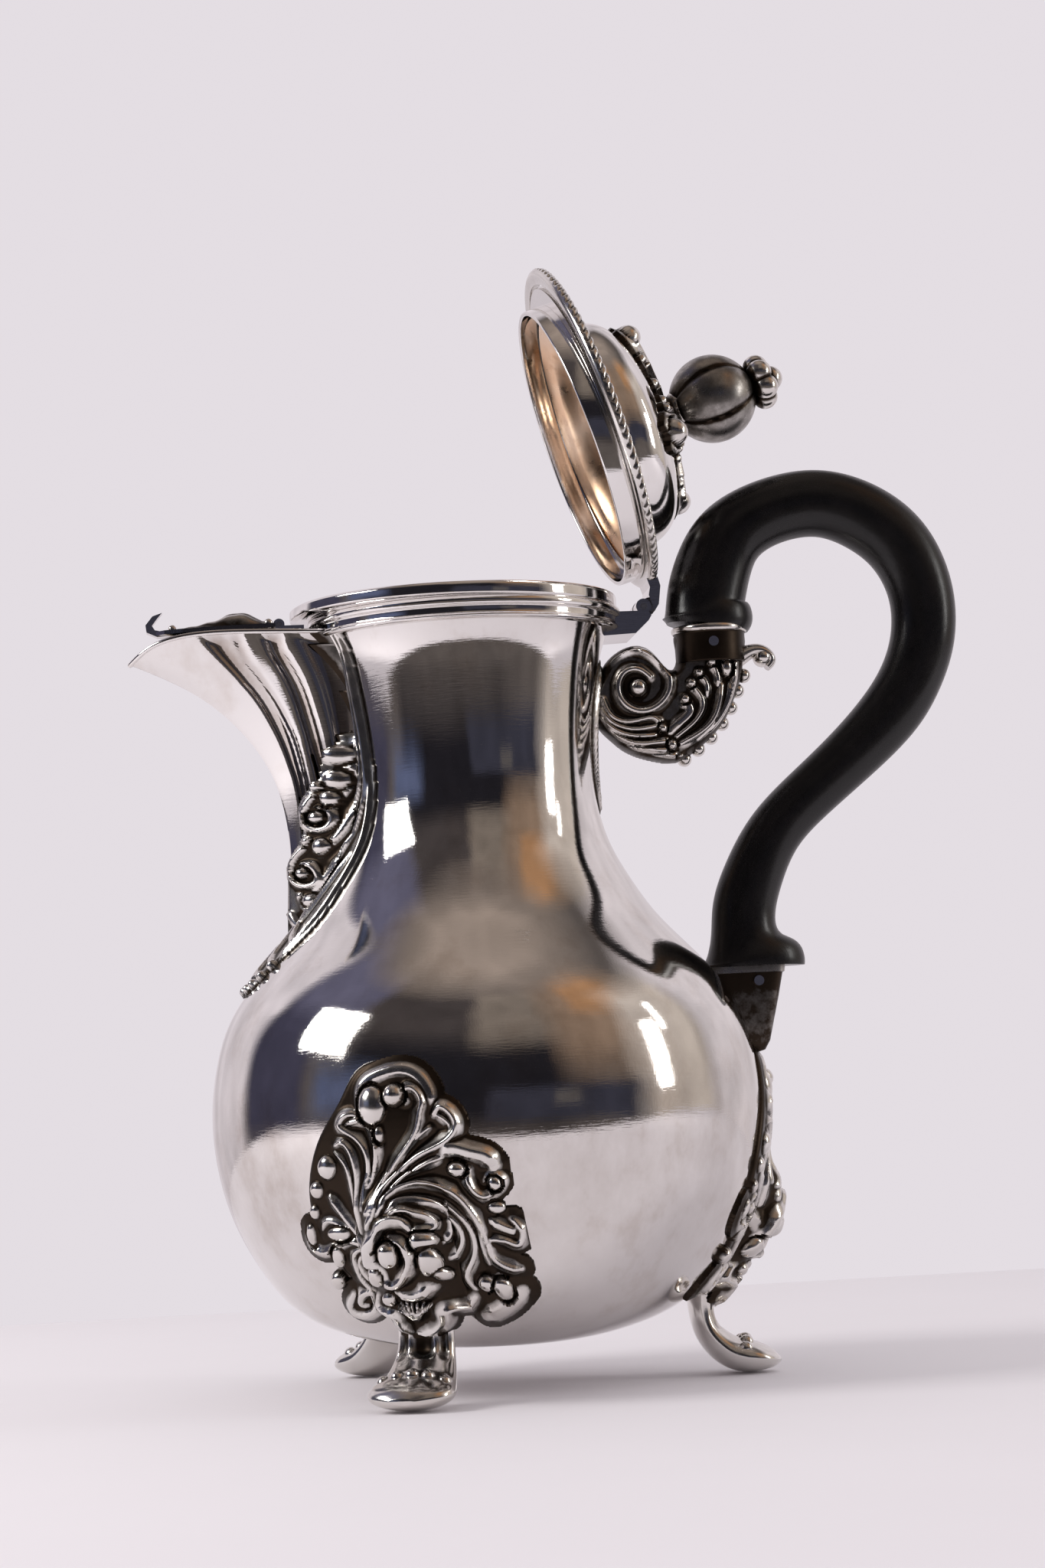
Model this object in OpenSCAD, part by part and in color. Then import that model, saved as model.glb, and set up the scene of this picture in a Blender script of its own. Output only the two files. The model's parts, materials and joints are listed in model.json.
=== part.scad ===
// Silver pear-shaped pot with a beak spout on three feet, a wooden loop handle, a hinged lid that
// stands open on its stop, and a small hinged flap over the spout.
// Everything is drawn about the upright axis of the body and then moved sideways by axis_x, so that
// the origin lies on the ground under the middle of the whole object. The handle points along +X.

/* [Body] */
// Largest radius of the pear-shaped belly
belly_r = 67.6; // [62:0.2:72]
// Smallest radius of the neck
neck_r = 30.5; // [28:0.1:33]
// Height of the underside of the body above the ground
base_z = 10.6; // [9:0.2:12]
// Thickness of the silver wall
wall = 1.2; // [0.9:0.1:1.6]
// Radius of the strainer holes in the neck behind the spout
strain_r = 1.8; // [1.2:0.1:2.2]

/* [Rim] */
// Outer radius of the rim moulding
rim_r = 40.9; // [40:0.1:42]
// Height of the top of the rim
rim_z = 193.7; // [193:0.1:194.5]
// Distance that the rim stands forward of the body's axis
rim_shift = 2.6; // [2:0.1:3]
// Radius of the mouth inside the rim
mouth_r = 37.4; // [37:0.1:37.8]

/* [Spout] */
// Half of the spout's width where it leaves the neck
spout_w = 14; // [12:0.5:16]
// How far the ornament on the spout's joint stands off the neck
mount_t = 2.8; // [2:0.2:3.4]

/* [Feet] */
// Azimuths of the three feet, from the handle, seen from above
foot_az = [0, 117, -114];
// Radius at which the middle of each sole stands
sole_x = 61.5; // [60:0.5:63]
// Radius of the flat of each sole
sole_r = 6; // [5:0.5:7]
// How far the foot ornaments stand off the belly
leaf_t = 3.4; // [2:0.2:4]

/* [Handle] */
// Height of the collar that holds the top of the wooden grip
collar_z = 185.8; // [185:0.2:186.4]
// Height of the lower socket that holds the foot of the grip
socket_z = 100; // [99:0.2:101]
// Radius of the pins through the sockets
pin_r = 1.25; // [1:0.05:1.5]
// Thickness of the scrolled bracket of the upper socket
bracket_w = 11; // [9:0.5:13]

/* [Lid] */
// Angle at which the lid rests open on its stop
lid_open = 72; // [60:1:80]
// Outer radius of the lid's border
border_r = 42.5; // [42:0.1:43]
// Outer radius of the bezel that drops into the mouth
bezel_r = 36.4; // [36:0.1:36.6]
// Radius of the ball of the finial
bud_r = 11.3; // [10:0.1:12]
// Height of the middle of that ball above the ground with the lid shut
bud_z = 227.5; // [226:0.5:229]

/* [Hinges] */
// Distance of the lid's hinge from the body's axis
hinge_x = 44.3; // [43.8:0.1:44.8]
// Height of the lid's hinge
hinge_z = 190.5; // [190:0.1:191]
// Radius of the lid hinge's knuckles
knuckle_r = 1.9; // [1.7:0.1:2]
// Radius of the lid hinge's pin
hinge_pin_r = 0.9; // [0.8:0.05:1]
// Distance of the flap's hinge from the body's axis, on the spout's side
flap_x = -46.4; // [-47:0.1:-46]
// Height of the flap's hinge
flap_z = 189.4; // [189.2:0.1:189.8]

/* [Hidden] */
$fn = 96;
silver = [0.80, 0.79, 0.77];
dark_silver = [0.45, 0.43, 0.40];
ebony = [0.05, 0.05, 0.05];
// Sideways move that puts the origin under the middle of the object
axis_x = -21.15;
// Gap between pieces that move past each other
gap = 0.3;
// Radial clearance of a turning pin
run = 0.05;

// Point at t on a smooth curve from b to c, with a and d as the points around them
function curve_point(a, b, c, d, t) =
    0.5 * (2*b + (c - a)*t + (2*a - 5*b + 4*c - d)*t*t + (3*b - a - 3*c + d)*t*t*t);
// Smooth curve through all but the first and the last of the points p, n steps to a stretch
function smooth(p, n) = [
    for (i = [1:len(p) - 3]) for (k = [0:n - 1]) curve_point(p[i - 1], p[i], p[i + 1], p[i + 2], k / n),
    p[len(p) - 2]];
function unit(v) = v / norm(v);
// Outline p moved by d at right angles to itself, to the right of its direction
function shifted(p, d) = [for (i = [0:len(p) - 1])
    let (t = unit(p[min(i + 1, len(p) - 1)] - p[max(i - 1, 0)])) p[i] + d * [t[1], -t[0]]];

// Half section of the body, from the middle of the underside to the top of the neck: radius, height
body_knots = [[-0.3*belly_r, base_z + 0.6], [0, base_z], [0.3*belly_r, base_z + 0.6],
    [0.53*belly_r, 14.5], [0.72*belly_r, 21], [0.865*belly_r, 33.5], [0.96*belly_r, 48],
    [belly_r, 66.5], [0.977*belly_r, 81], [0.915*belly_r, 93], [0.785*belly_r, 104.5],
    [1.455*neck_r, 114], [1.24*neck_r, 124], [1.095*neck_r, 133], [1.016*neck_r, 143],
    [neck_r, 152], [1.02*neck_r, 162], [1.06*neck_r, 172], [1.12*neck_r, 181],
    [1.22*neck_r, 187], [1.34*neck_r, 191]];
body_line = smooth(body_knots, 4);
neck_top = 187;

module body_solid(out = 0) {
    line = shifted(body_line, out);
    rotate_extrude()
        polygon(concat([[0, line[0][1]]], [for (i = [1:len(line) - 1]) line[i]], [[0, neck_top]]));
}

module at_axis() { translate([axis_x, 0, 0]) children(); }

// Outline in a plane that faces along X, pushed from x0 to x1
module facing_x(x0, x1, outline) {
    translate([x0, 0, 0]) rotate([90, 0, 90]) linear_extrude(x1 - x0) polygon(outline);
}

// Side outline in the XZ plane with thickness w, centred on y
module side_plate(w, outline, y = 0) {
    translate([0, y + w / 2, 0]) rotate([90, 0, 0]) linear_extrude(w) polygon(outline);
}

module rod_y(x, z, r, length, y = 0) {
    translate([x, y + length / 2, z]) rotate([90, 0, 0]) cylinder(r = r, h = length, $fn = 48);
}

// Closed solid through a list of rings that all have the same number of points
module loft(rings) {
    n = len(rings[0]);
    m = len(rings);
    polyhedron(
        points = [for (r = rings) for (p = r) p],
        faces = concat(
            [[for (k = [0:n - 1]) k]],
            [[for (k = [0:n - 1]) (m - 1) * n + n - 1 - k]],
            [for (i = [0:m - 2]) for (k = [0:n - 1])
                [i*n + k, (i + 1)*n + k, i*n + (k + 1) % n]],
            [for (i = [0:m - 2]) for (k = [0:n - 1])
                [i*n + (k + 1) % n, (i + 1)*n + k, (i + 1)*n + (k + 1) % n]]));
}

// ---- body ----

module strainer_holes() {
    for (row = [0:4]) for (col = [-1:1])
        translate([-30, col * 6.5, 145 + row * 7]) rotate([0, -90, 0])
            cylinder(r = strain_r, h = 14, center = true, $fn = 24);
}

// Heights at which the wall of the body is divided into bands, from the ground to the top of the neck
band_z = [0, 20.5, 33.5, 66.5, 97, 128, neck_top];

module body_band(i) {
    inner = shifted(body_line, -wall);
    intersection() {
        rotate_extrude() polygon(concat(body_line,
            [for (k = [len(inner) - 1:-1:1]) inner[k]], [[0, inner[0][1]]]));
        translate([0, 0, band_z[i]]) cylinder(r = belly_r + 5, h = band_z[i + 1] - band_z[i]);
    }
}

module body_bottom() { color(silver) at_axis() body_band(0); }
module body_base() { color(silver) at_axis() body_band(1); }
module body_belly() { color(silver) at_axis() body_band(2); }
module body_upper() { color(silver) at_axis() body_band(3); }
module body_shoulder() { color(silver) at_axis() body_band(4); }
module body_neck() {
    color(silver) at_axis() difference() {
        body_band(5);
        strainer_holes();
    }
}

// Half section of the mouldings under the band of the rim, about the body's axis: radius, height
rim_foot_section = [[30, 185], [38.2, 185], [38.7, 185.6], [38.2, 186.2], [38.2, 188], [39, 188.3],
    [39.3, 189.2], [39, 190.4], [30, 190.4]];
// Outer edge of the band of the rim, about the rim's own axis: radius, height
rim_band_edge = [[rim_r - 1, 190.4], [rim_r, 191], [rim_r, rim_z - 0.8], [rim_r - 0.8, rim_z]];

module rim_solid() {
    difference() {
        union() {
            rotate_extrude() polygon(rim_foot_section);
            translate([-rim_shift, 0, 0]) rotate_extrude()
                polygon(concat([[0, 190.4]], rim_band_edge, [[0, rim_z]]));
        }
        translate([0, 0, neck_top]) cylinder(r = mouth_r, h = 20);
    }
}

module rim_ring() {
    color(silver) at_axis() difference() {
        rim_solid();
        body_solid();
    }
}

// ---- spout ----

// Front line of the spout, from the belly up to beyond the tip: x, height
keel_knots = [[-47, 106], [-46.5, 112], [-46.2, 119], [-45.8, 127], [-45.8, 135], [-46.6, 142.5],
    [-48.6, 150.5], [-52.8, 158.7], [-60, 167.3], [-69, 174.3], [-80.9, 180.3], [-94, 186],
    [-108, 192], [-120, 197]];
keel_line = smooth(keel_knots, 2);
// Half width of the spout at the neck against height
function spout_half(z) = lookup(z, [[110, 0.36*spout_w], [119, 0.66*spout_w], [130, 0.9*spout_w],
    [160, 0.9*spout_w], [175, 0.95*spout_w], [187, spout_w]]);
spout_root = -24;
spout_steps = 9;

// Share of the spout's half width that is left at share s of the way from the neck to its front
function spout_bow(s) = pow(1 - pow(s, 1.6), 0.85);
// Level ring of the spout at height z, from root to its front at x, with half width w at the neck
function spout_ring(root, x, z, w) = concat(
    [for (k = [0:spout_steps])
        let (s = k / spout_steps)
        [root + s * (x - root), w * spout_bow(s), z]],
    [for (k = [spout_steps - 1:-1:0])
        let (s = k / spout_steps)
        [root + s * (x - root), -w * spout_bow(s), z]]);

module spout_solid(inset = 0) {
    loft([for (p = keel_line)
        spout_ring(spout_root + inset, p[0] + 1.6 * inset, p[1] + 0.5 * inset,
                   spout_half(p[1]) - 1.1 * inset)]);
}

// Side view of the spout's top edge, closed well below it
spout_side = concat(
    smooth([[-12, 186.4], [-20, 186.6], [-35, 186.9], [-51, 187.6], [-64, 187.9], [-73, 187],
        [-79, 184.9], [-83, 182], [-87, 179]], 3),
    [[-86, 170], [-86, 100], [-20, 100]]);

module spout_shell() {
    color(silver) at_axis() difference() {
        intersection() {
            spout_solid();
            side_plate(60, spout_side);
        }
        spout_solid(wall);
        body_solid();
        rim_solid();
    }
}

// Right half of the outline of the ornament along the spout's joint, from its tail up: y, height
mount_edge = [[0, 97.5], [5, 98], [10.5, 100.5], [13.5, 105.5], [17, 112], [18, 121], [18.2, 129],
    [17, 139], [16, 152], [15.3, 170], [15.3, 184.5]];

module spout_mount() {
    color(dark_silver) at_axis() difference() {
        intersection() {
            body_solid(mount_t);
            facing_x(-75, -20, concat(mount_edge,
                [for (i = [len(mount_edge) - 1:-1:1]) [-mount_edge[i][0], mount_edge[i][1]]]));
        }
        body_solid();
        spout_solid();
    }
}

// ---- feet ----

// Stations down a leg: radius from the body's axis, height, half depth, half width
leg_stations = [[56.5, 34, 4.6, 8.6], [53.5, 28, 4.2, 8.2], [51.3, 22.5, 3.7, 7.4], [50.6, 17, 3.1, 6.8],
    [51.5, 12, 3.1, 7.2], [54, 8, 3.6, 8.2], [57.6, 5.2, 4, 9.6], [61.8, 4.2, 4, 10.6], [65.6, 3.6, 3.1, 9.6],
    [68.2, 3.1, 1.3, 6], [70, 2.9, 0.9, 4]];
leg_joint_z = 24.4;

function leg_ring(p, q, s) =
    let (t = unit([q[0] - p[0], q[1] - p[1]]), n = [t[1], -t[0]])
    [for (k = [0:15])
        let (c = cos(22.5 * k), e = sin(22.5 * k))
        [s[0] + s[2] * c * n[0], s[3] * e, s[1] + s[2] * c * n[1]]];

module leg(az) {
    line = smooth(leg_stations, 2);
    last = len(line) - 1;
    at_axis() rotate([0, 0, az]) difference() {
        union() {
            loft([for (i = [0:last]) leg_ring(line[max(i - 1, 0)], line[min(i + 1, last)], line[i])]);
            translate([sole_x, 0, 0]) cylinder(r = sole_r, h = 3.5, $fn = 48);
        }
        body_solid();
        translate([30, -20, leg_joint_z]) cube([50, 40, 40]);
        translate([30, -20, -10]) cube([50, 40, 10]);
    }
}

// Outline of the leaf ornament over a foot, seen from outside: across, height
cartouche_edge = smooth([[3.5, 81], [-3.5, 82.5], [-10, 80.5], [-15, 73], [-21.5, 66], [-26, 56], [-27, 47],
    [-24.5, 37], [-19.5, 30], [-9, 29.5], [-3, 25], [3, 25.5], [10, 30.5], [19, 33], [24, 41.5], [24, 51],
    [20, 60], [13, 67.5], [9, 75], [3.5, 81], [-3.5, 82.5]], 2);
// Side outline of the palmette and scroll that join the ornament to the leg: radius, height
palmette_side = [[45, leg_joint_z], [58.4, leg_joint_z], [62.5, 28.6], [66.5, 33], [70.2, 38], [72.6, 43],
    [71.5, 49], [66, 54], [50, 54]];

module cartouche(az) {
    at_axis() rotate([0, 0, az]) difference() {
        union() {
            intersection() {
                body_solid(leaf_t);
                facing_x(20, 80, cartouche_edge);
            }
            side_plate(15, palmette_side, 0.5);
            translate([70, -6.5, 75]) sphere(r = 4.8, $fn = 32);
            translate([70.4, -1, 76.6]) sphere(r = 3.6, $fn = 32);
        }
        body_solid();
        translate([30, -40, leg_joint_z - 30]) cube([60, 80, 30]);
    }
}

// Width and side outline of the lower socket of the handle: x, height
lower_socket_w = 13;
lower_socket_side = [[50, socket_z], [76, socket_z], [71, 80.5], [66.5, 78.5], [50, 84]];

module rear_leg() { color(silver) leg(foot_az[0]); }
module left_leg() { color(silver) leg(foot_az[1]); }
module right_leg() { color(silver) leg(foot_az[2]); }
// The ornament over the rear foot stops at the lower socket of the handle
module rear_cartouche() {
    color(dark_silver) difference() {
        cartouche(foot_az[0]);
        at_axis() side_plate(lower_socket_w, lower_socket_side);
    }
}
module left_cartouche() { color(dark_silver) cartouche(foot_az[1]); }
module right_cartouche() { color(dark_silver) cartouche(foot_az[2]); }

// ---- handle ----

collar_x = 61.8;
tenon_r = 6.4;
upper_pin_at = [61.5, 181.2];
lower_pin_at = [68.6, 96.3];
lower_tenon_x = 67.8;
lower_tenon_r = 4;
lower_tenon_w = 8;

// Side outline of the scrolled bracket: x, height
bracket_side = [[30, 165], [36.5, 158.5], [45, 153.3], [51, 151.4], [56.5, 154], [61, 157.6], [65, 162.3],
    [67.6, 168], [69.6, 174], [70.6, 179.5], [53, 179.5], [52.2, 175.3], [49, 168], [42, 165], [30, 168]];
// Beads down the outer edge of the bracket: x, height
bead_at = [[56.1, 153.9], [60.4, 156.7], [64.1, 160.4], [67.1, 164.7], [69.2, 169], [71.2, 173]];
// Leaf-shaped plate that joins the bracket to the neck: y, height
back_leaf = [[0, 140], [4.5, 149], [7.5, 158], [8, 168], [5, 176], [0, 180]];

module upper_socket() {
    color(dark_silver) at_axis() difference() {
        union() {
            side_plate(bracket_w, bracket_side);
            rod_y(43, 172.8, 9.8, bracket_w + 1.6);
            rod_y(43, 172.8, 2, bracket_w + 4);
            for (b = bead_at) translate([b[0], 0, b[1]]) sphere(r = 1.9, $fn = 24);
            side_plate(6, [[68, 175], [75.3, 175.6], [75.3, 181.3], [68, 180]]);
            rod_y(75.4, 178.4, 3, 7.4);
            translate([collar_x, 0, 176]) cylinder(r = 8.8, h = collar_z - 176);
            translate([collar_x, 0, collar_z - 1.2]) cylinder(r = 9.5, h = 1.2);
            intersection() {
                body_solid(1.6);
                facing_x(20, 60, concat(back_leaf, [for (i = [4:-1:1]) [-back_leaf[i][0], back_leaf[i][1]]]));
            }
        }
        body_solid();
        translate([collar_x, 0, 177]) cylinder(r = tenon_r, h = 20);
        rod_y(upper_pin_at[0], upper_pin_at[1], pin_r, 30);
    }
}

module lower_socket() {
    color(dark_silver) at_axis() difference() {
        side_plate(lower_socket_w, lower_socket_side);
        body_solid();
        translate([lower_tenon_x - lower_tenon_r, -lower_tenon_w / 2, 91.5])
            cube([2 * lower_tenon_r, lower_tenon_w, 20]);
        rod_y(lower_pin_at[0], lower_pin_at[1], pin_r, 30);
    }
}

// Middle line of the wooden grip from the collar round to the lower socket:
// x, height, width in the plane of the loop, width across it
grip_stations = [[60.6, 182, 20, 18], [60.8, 185.8, 20.4, 18.4], [62, 189.6, 22.4, 18.6],
    [61.8, 195, 19.8, 17.2], [66.2, 206, 18.6, 15.6], [73.8, 212.7, 17.2, 15], [84.7, 216.2, 16.9, 14.8],
    [94.8, 215.9, 17.2, 14.8], [105, 211.2, 17.6, 15], [112, 204.3, 17.3, 15], [116.4, 193.7, 16.6, 14.8],
    [116.5, 182, 16.3, 14.4], [113.2, 172.2, 15.9, 14], [107.4, 163.2, 15.8, 13.6], [96.5, 152.4, 14.6, 13],
    [84.8, 142.5, 13.9, 12.6], [75.3, 133, 14.1, 12.6], [69.3, 122, 15.2, 13], [66.8, 113.8, 15.9, 13.6],
    [66.9, 106.2, 19, 15], [67.8, 102, 26.6, 17], [67.9, 100, 27, 17], [67.9, 98, 27, 17]];

function grip_ring(p, q, s) =
    let (t = unit([q[0] - p[0], q[1] - p[1]]), n = [t[1], -t[0]])
    [for (k = [0:15])
        let (c = cos(22.5 * k) * s[2] / 2, e = sin(22.5 * k) * s[3] / 2)
        [s[0] + c * n[0], e, s[1] + c * n[1]]];

module handle_grip() {
    line = smooth(grip_stations, 2);
    last = len(line) - 1;
    level = [[0, 0], [0, 1]];
    color(ebony) at_axis() difference() {
        union() {
            loft([for (i = [0:last])
                i == 0 ? grip_ring(level[0], level[1], line[i]) :
                i == last ? grip_ring(level[1], level[0], line[i]) :
                grip_ring(line[i - 1], line[i + 1], line[i])]);
            translate([collar_x, 0, 177.2]) cylinder(r = tenon_r, h = 12);
            translate([lower_tenon_x - lower_tenon_r, -lower_tenon_w / 2, 91.7])
                cube([2 * lower_tenon_r, lower_tenon_w, 12]);
        }
        rod_y(upper_pin_at[0], upper_pin_at[1], pin_r, 30);
        rod_y(lower_pin_at[0], lower_pin_at[1], pin_r, 30);
    }
}

module upper_pin() { color(silver) at_axis() rod_y(upper_pin_at[0], upper_pin_at[1], pin_r, 17.8); }
module lower_pin() { color(silver) at_axis() rod_y(lower_pin_at[0], lower_pin_at[1], pin_r, 13.6); }

// ---- lid hinge on the rim ----

hinge_len = 18;
leaf_knuckle = 5.8;

module hinge_bracket() {
    color(silver) at_axis() difference() {
        union() {
            side_plate(hinge_len, [[33, 189.4], [45.4, 189.4], [46.2, 188.2], [45.4, 186.9], [42, 183.8], [33, 183.4]]);
            for (side = [-1, 1])
                rod_y(hinge_x, hinge_z, knuckle_r, (hinge_len - leaf_knuckle) / 2 - gap,
                      side * ((hinge_len + leaf_knuckle) / 4 + gap / 2));
        }
        rod_y(hinge_x, hinge_z, knuckle_r + 0.2 + gap, leaf_knuckle + 2 * gap);
        rod_y(hinge_x, hinge_z, hinge_pin_r, 30);
        rim_solid();
        body_solid();
        translate([0, 0, neck_top]) cylinder(r = mouth_r + gap, h = 30);
    }
}

module hinge_pin() { color(dark_silver) at_axis() rod_y(hinge_x, hinge_z, hinge_pin_r, hinge_len); }

// ---- lid, drawn shut and then swung open ----

module swung_open() {
    at_axis() translate([hinge_x, 0, hinge_z]) rotate([0, lid_open, 0]) translate([-hinge_x, 0, -hinge_z])
        children();
}

flange_z = rim_z + gap;
flange_t = 1.2;
border_shift = 3.2;
border_in = 39.6;
// Half section of the raised lid inside its flange, from the rim inwards: radius, height
dome_knots = [[38, 195.2], [34, 195.3], [31.6, 196.4], [29.9, 199], [29, 202.2], [26.8, 206], [22.5, 208.8],
    [15, 211], [7, 212.1], [0, 212.4], [-7, 212.1]];
dome_line = smooth(dome_knots, 3);

module dome_solid(out = 0) {
    line = shifted(dome_line, out);
    rotate_extrude() polygon(concat([for (i = [0:len(line) - 2]) line[i]],
        [[0, line[len(line) - 1][1]], [0, flange_z], [line[0][0], flange_z]]));
}

module lid_dome() {
    inner = shifted(dome_line, -1.1);
    last = len(dome_line) - 1;
    color(silver) swung_open() difference() {
        union() {
            rotate_extrude() polygon(concat(dome_line, [[0, inner[last][1]]],
                [for (i = [last - 1:-1:1]) inner[i]], [[33, flange_z], [34.4, flange_z]]));
            difference() {
                translate([-border_shift, 0, flange_z]) cylinder(r = border_in, h = flange_t, $fn = 128);
                translate([0, 0, flange_z - 1]) cylinder(r = 33.4, h = 10);
            }
        }
        translate([0, 0, 200]) cylinder(r = stud_r, h = 20, $fn = 24);
    }
}

module border_solid() {
    translate([-border_shift, 0, 0]) rotate_extrude($fn = 128)
        polygon([[border_in, flange_z], [border_r - 1, flange_z], [border_r - 0.2, 194.8], [border_r, 195.8],
            [border_r - 0.3, 196.7], [border_r - 1.2, 197.3], [border_in + 0.5, 197.2], [border_in - 0.8, 196.4],
            [border_in - 0.8, flange_z + flange_t], [border_in, flange_z + flange_t]]);
}

module lid_border() { color(dark_silver) swung_open() border_solid(); }

module lid_bezel() {
    color(silver) swung_open() translate([0, 0, 189]) difference() {
        cylinder(r = bezel_r, h = flange_z - 189, $fn = 128);
        translate([0, 0, -1]) cylinder(r = bezel_r - 1.2, h = 10, $fn = 128);
    }
}

module lid_hinge_leaf() {
    color(silver) swung_open() difference() {
        union() {
            rod_y(hinge_x, hinge_z, knuckle_r + 0.1, leaf_knuckle);
            translate([hinge_x, 0, hinge_z]) {
                side_plate(leaf_knuckle, [[-1.9, 0], [-2.4, 3.6], [0.8, 4], [2, 2.6], [2, 0]]);
                side_plate(14, [[-2.4, 2.6], [-4.2, 3.6], [-7, 3.6], [-7, 6.4], [-3.6, 6.2], [0.6, 4.2], [1.9, 2.6]]);
            }
        }
        rod_y(hinge_x, hinge_z, hinge_pin_r + run, 30);
        border_solid();
        translate([-border_shift, 0, flange_z - 5]) cylinder(r = border_in, h = 12, $fn = 128);
    }
}

stud_r = 1.5;
// Half section of the boss under the ball: radius, height
boss_section = [[0, 208], [8, 208], [7.4, 212.8], [5.6, 214.6], [4.6, 216], [4.8, 219], [0, 219]];
// Outline of one leaf on the lid, pointing along x: along, across
lid_leaf = smooth([[0, -4], [3, -4.5], [9, -6.5], [16, -5.5], [21, -2.5], [24, 0], [21, 2.5], [16, 5.5], [9, 6.5],
    [3, 4.5], [0, 4]], 2);
leaf_az = [20, 110, 200, 290];

module lid_leaves() {
    color(dark_silver) swung_open() difference() {
        union() {
            rotate_extrude() polygon(boss_section);
            intersection() {
                dome_solid(2.2);
                union() for (a = leaf_az) rotate([0, 0, a]) translate([0, 0, 195]) linear_extrude(30) polygon(lid_leaf);
            }
            for (a = leaf_az) rotate([0, 0, a]) translate([20.5, 0, 209.6]) sphere(r = 2.3, $fn = 24);
        }
        dome_solid();
        translate([0, 0, bud_z]) sphere(r = bud_r);
        translate([0, 0, 200]) cylinder(r = stud_r, h = 30, $fn = 24);
    }
}

module finial_bud() {
    color(silver) swung_open() difference() {
        translate([0, 0, bud_z]) sphere(r = bud_r);
        translate([0, 0, 210]) cylinder(r = stud_r, h = 13, $fn = 24);
    }
}

berry_r = 3.3;
berry_ring = 3.9;

module finial_cluster() {
    color(silver) swung_open() difference() {
        translate([0, 0, bud_z + bud_r]) {
            for (a = [0:60:300]) rotate([0, 0, a]) translate([berry_ring, 0, 1.9]) sphere(r = berry_r, $fn = 32);
            translate([0, 0, 4.5]) sphere(r = berry_r, $fn = 32);
        }
        translate([0, 0, bud_z]) sphere(r = bud_r);
    }
}

module finial_stud() { color(dark_silver) swung_open() translate([0, 0, 207]) cylinder(r = stud_r, h = 16, $fn = 24); }

module finial_nut() {
    color(dark_silver) swung_open() difference() {
        translate([0, 0, 208]) cylinder(r = 4, h = 2.9, $fn = 6);
        translate([0, 0, 200]) cylinder(r = stud_r, h = 20, $fn = 24);
    }
}

// ---- flap on the spout ----

flap_t = 1;
flap_low = 188.2;
flap_knuckle_r = 1.4;
flap_pin_r = 0.7;
flap_len = 14;
// Half outline of the flap seen from above, from its hinge to its tip: x, y
flap_edge = [[-47.4, 11.2], [-52, 10.6], [-58, 9.6], [-64, 8.4], [-70, 6.8], [-74.6, 4.8], [-76.6, 2.6]];
// Side outline of the curled lift at the flap's tip: x, height
curl_side = [[-72.5, 188.3], [-76.4, 188], [-79, 189.2], [-79.2, 191], [-77.4, 193.2], [-75, 194], [-76.4, 192.4],
    [-77.6, 190.8], [-76.9, 189.7], [-75, 189.3], [-72.5, 189.3]];

module flap_bracket() {
    color(silver) at_axis() difference() {
        union() {
            translate([flap_x, -11, 187.7]) cube([6, 22, 0.8]);
            rod_y(flap_x, flap_z, flap_knuckle_r, 5);
        }
        rod_y(flap_x, flap_z, flap_pin_r, 30);
        for (side = [-1, 1]) rod_y(flap_x, flap_z, flap_knuckle_r + gap, 6, side * (2.8 + 3));
        rim_solid();
        translate([0, 0, 180]) cylinder(r = 39.5, h = 30);
    }
}

module flap_pin() { color(dark_silver) at_axis() rod_y(flap_x, flap_z, flap_pin_r, flap_len); }

module flap_plate() {
    color(silver) at_axis() difference() {
        union() {
            translate([0, 0, flap_low]) linear_extrude(flap_t)
                polygon(concat(flap_edge, [for (i = [len(flap_edge) - 1:-1:0]) [flap_edge[i][0], -flap_edge[i][1]]]));
            for (side = [-1, 1])
                rod_y(flap_x, flap_z, flap_knuckle_r, flap_len / 2 - 2.8, side * (flap_len / 4 + 1.4));
            side_plate(3.6, curl_side);
        }
        rod_y(flap_x, flap_z, flap_pin_r + run, 30);
        rod_y(flap_x, flap_z, flap_knuckle_r + gap, 5.6);
    }
}

// Stations of the shell on the flap, from the hinge to its point: x, height of the top, half width
shell_stations = [[-48.5, 190, 3], [-50.5, 191.2, 5.4], [-54, 193.2, 6.6], [-57, 193.7, 6.4], [-61, 192.2, 5.6],
    [-66, 190.8, 4], [-70, 190, 2.2], [-71.8, 189.6, 1]];

module flap_shell() {
    color(dark_silver) at_axis()
        loft([for (s = shell_stations) [for (k = [0:12])
            let (a = 180 * k / 12)
            [s[0], s[2] * cos(a), flap_low + flap_t + (s[1] - flap_low - flap_t) * sin(a)]]]);
}

body_bottom();
body_base();
body_belly();
body_upper();
body_shoulder();
body_neck();
rim_ring();
spout_shell();
spout_mount();
rear_leg();
left_leg();
right_leg();
rear_cartouche();
left_cartouche();
right_cartouche();
upper_socket();
lower_socket();
handle_grip();
upper_pin();
lower_pin();
hinge_bracket();
hinge_pin();
flap_bracket();
flap_pin();
lid_dome();
lid_border();
lid_bezel();
lid_hinge_leaf();
lid_leaves();
finial_bud();
finial_cluster();
finial_stud();
finial_nut();
flap_plate();
flap_shell();
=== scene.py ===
"""Looks of a pear-shaped silver pot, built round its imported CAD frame.

Shapes are worked out in millimetres about the upright axis of the body, as part.scad draws them: x towards
the handle, z up from the ground. The lid is shaped shut and then swung open, as in part.scad. place() turns
such points into metres in the frame.
"""

import json
import math

import bmesh
import bpy
import numpy as np
from mathutils import Matrix, Vector


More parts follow.
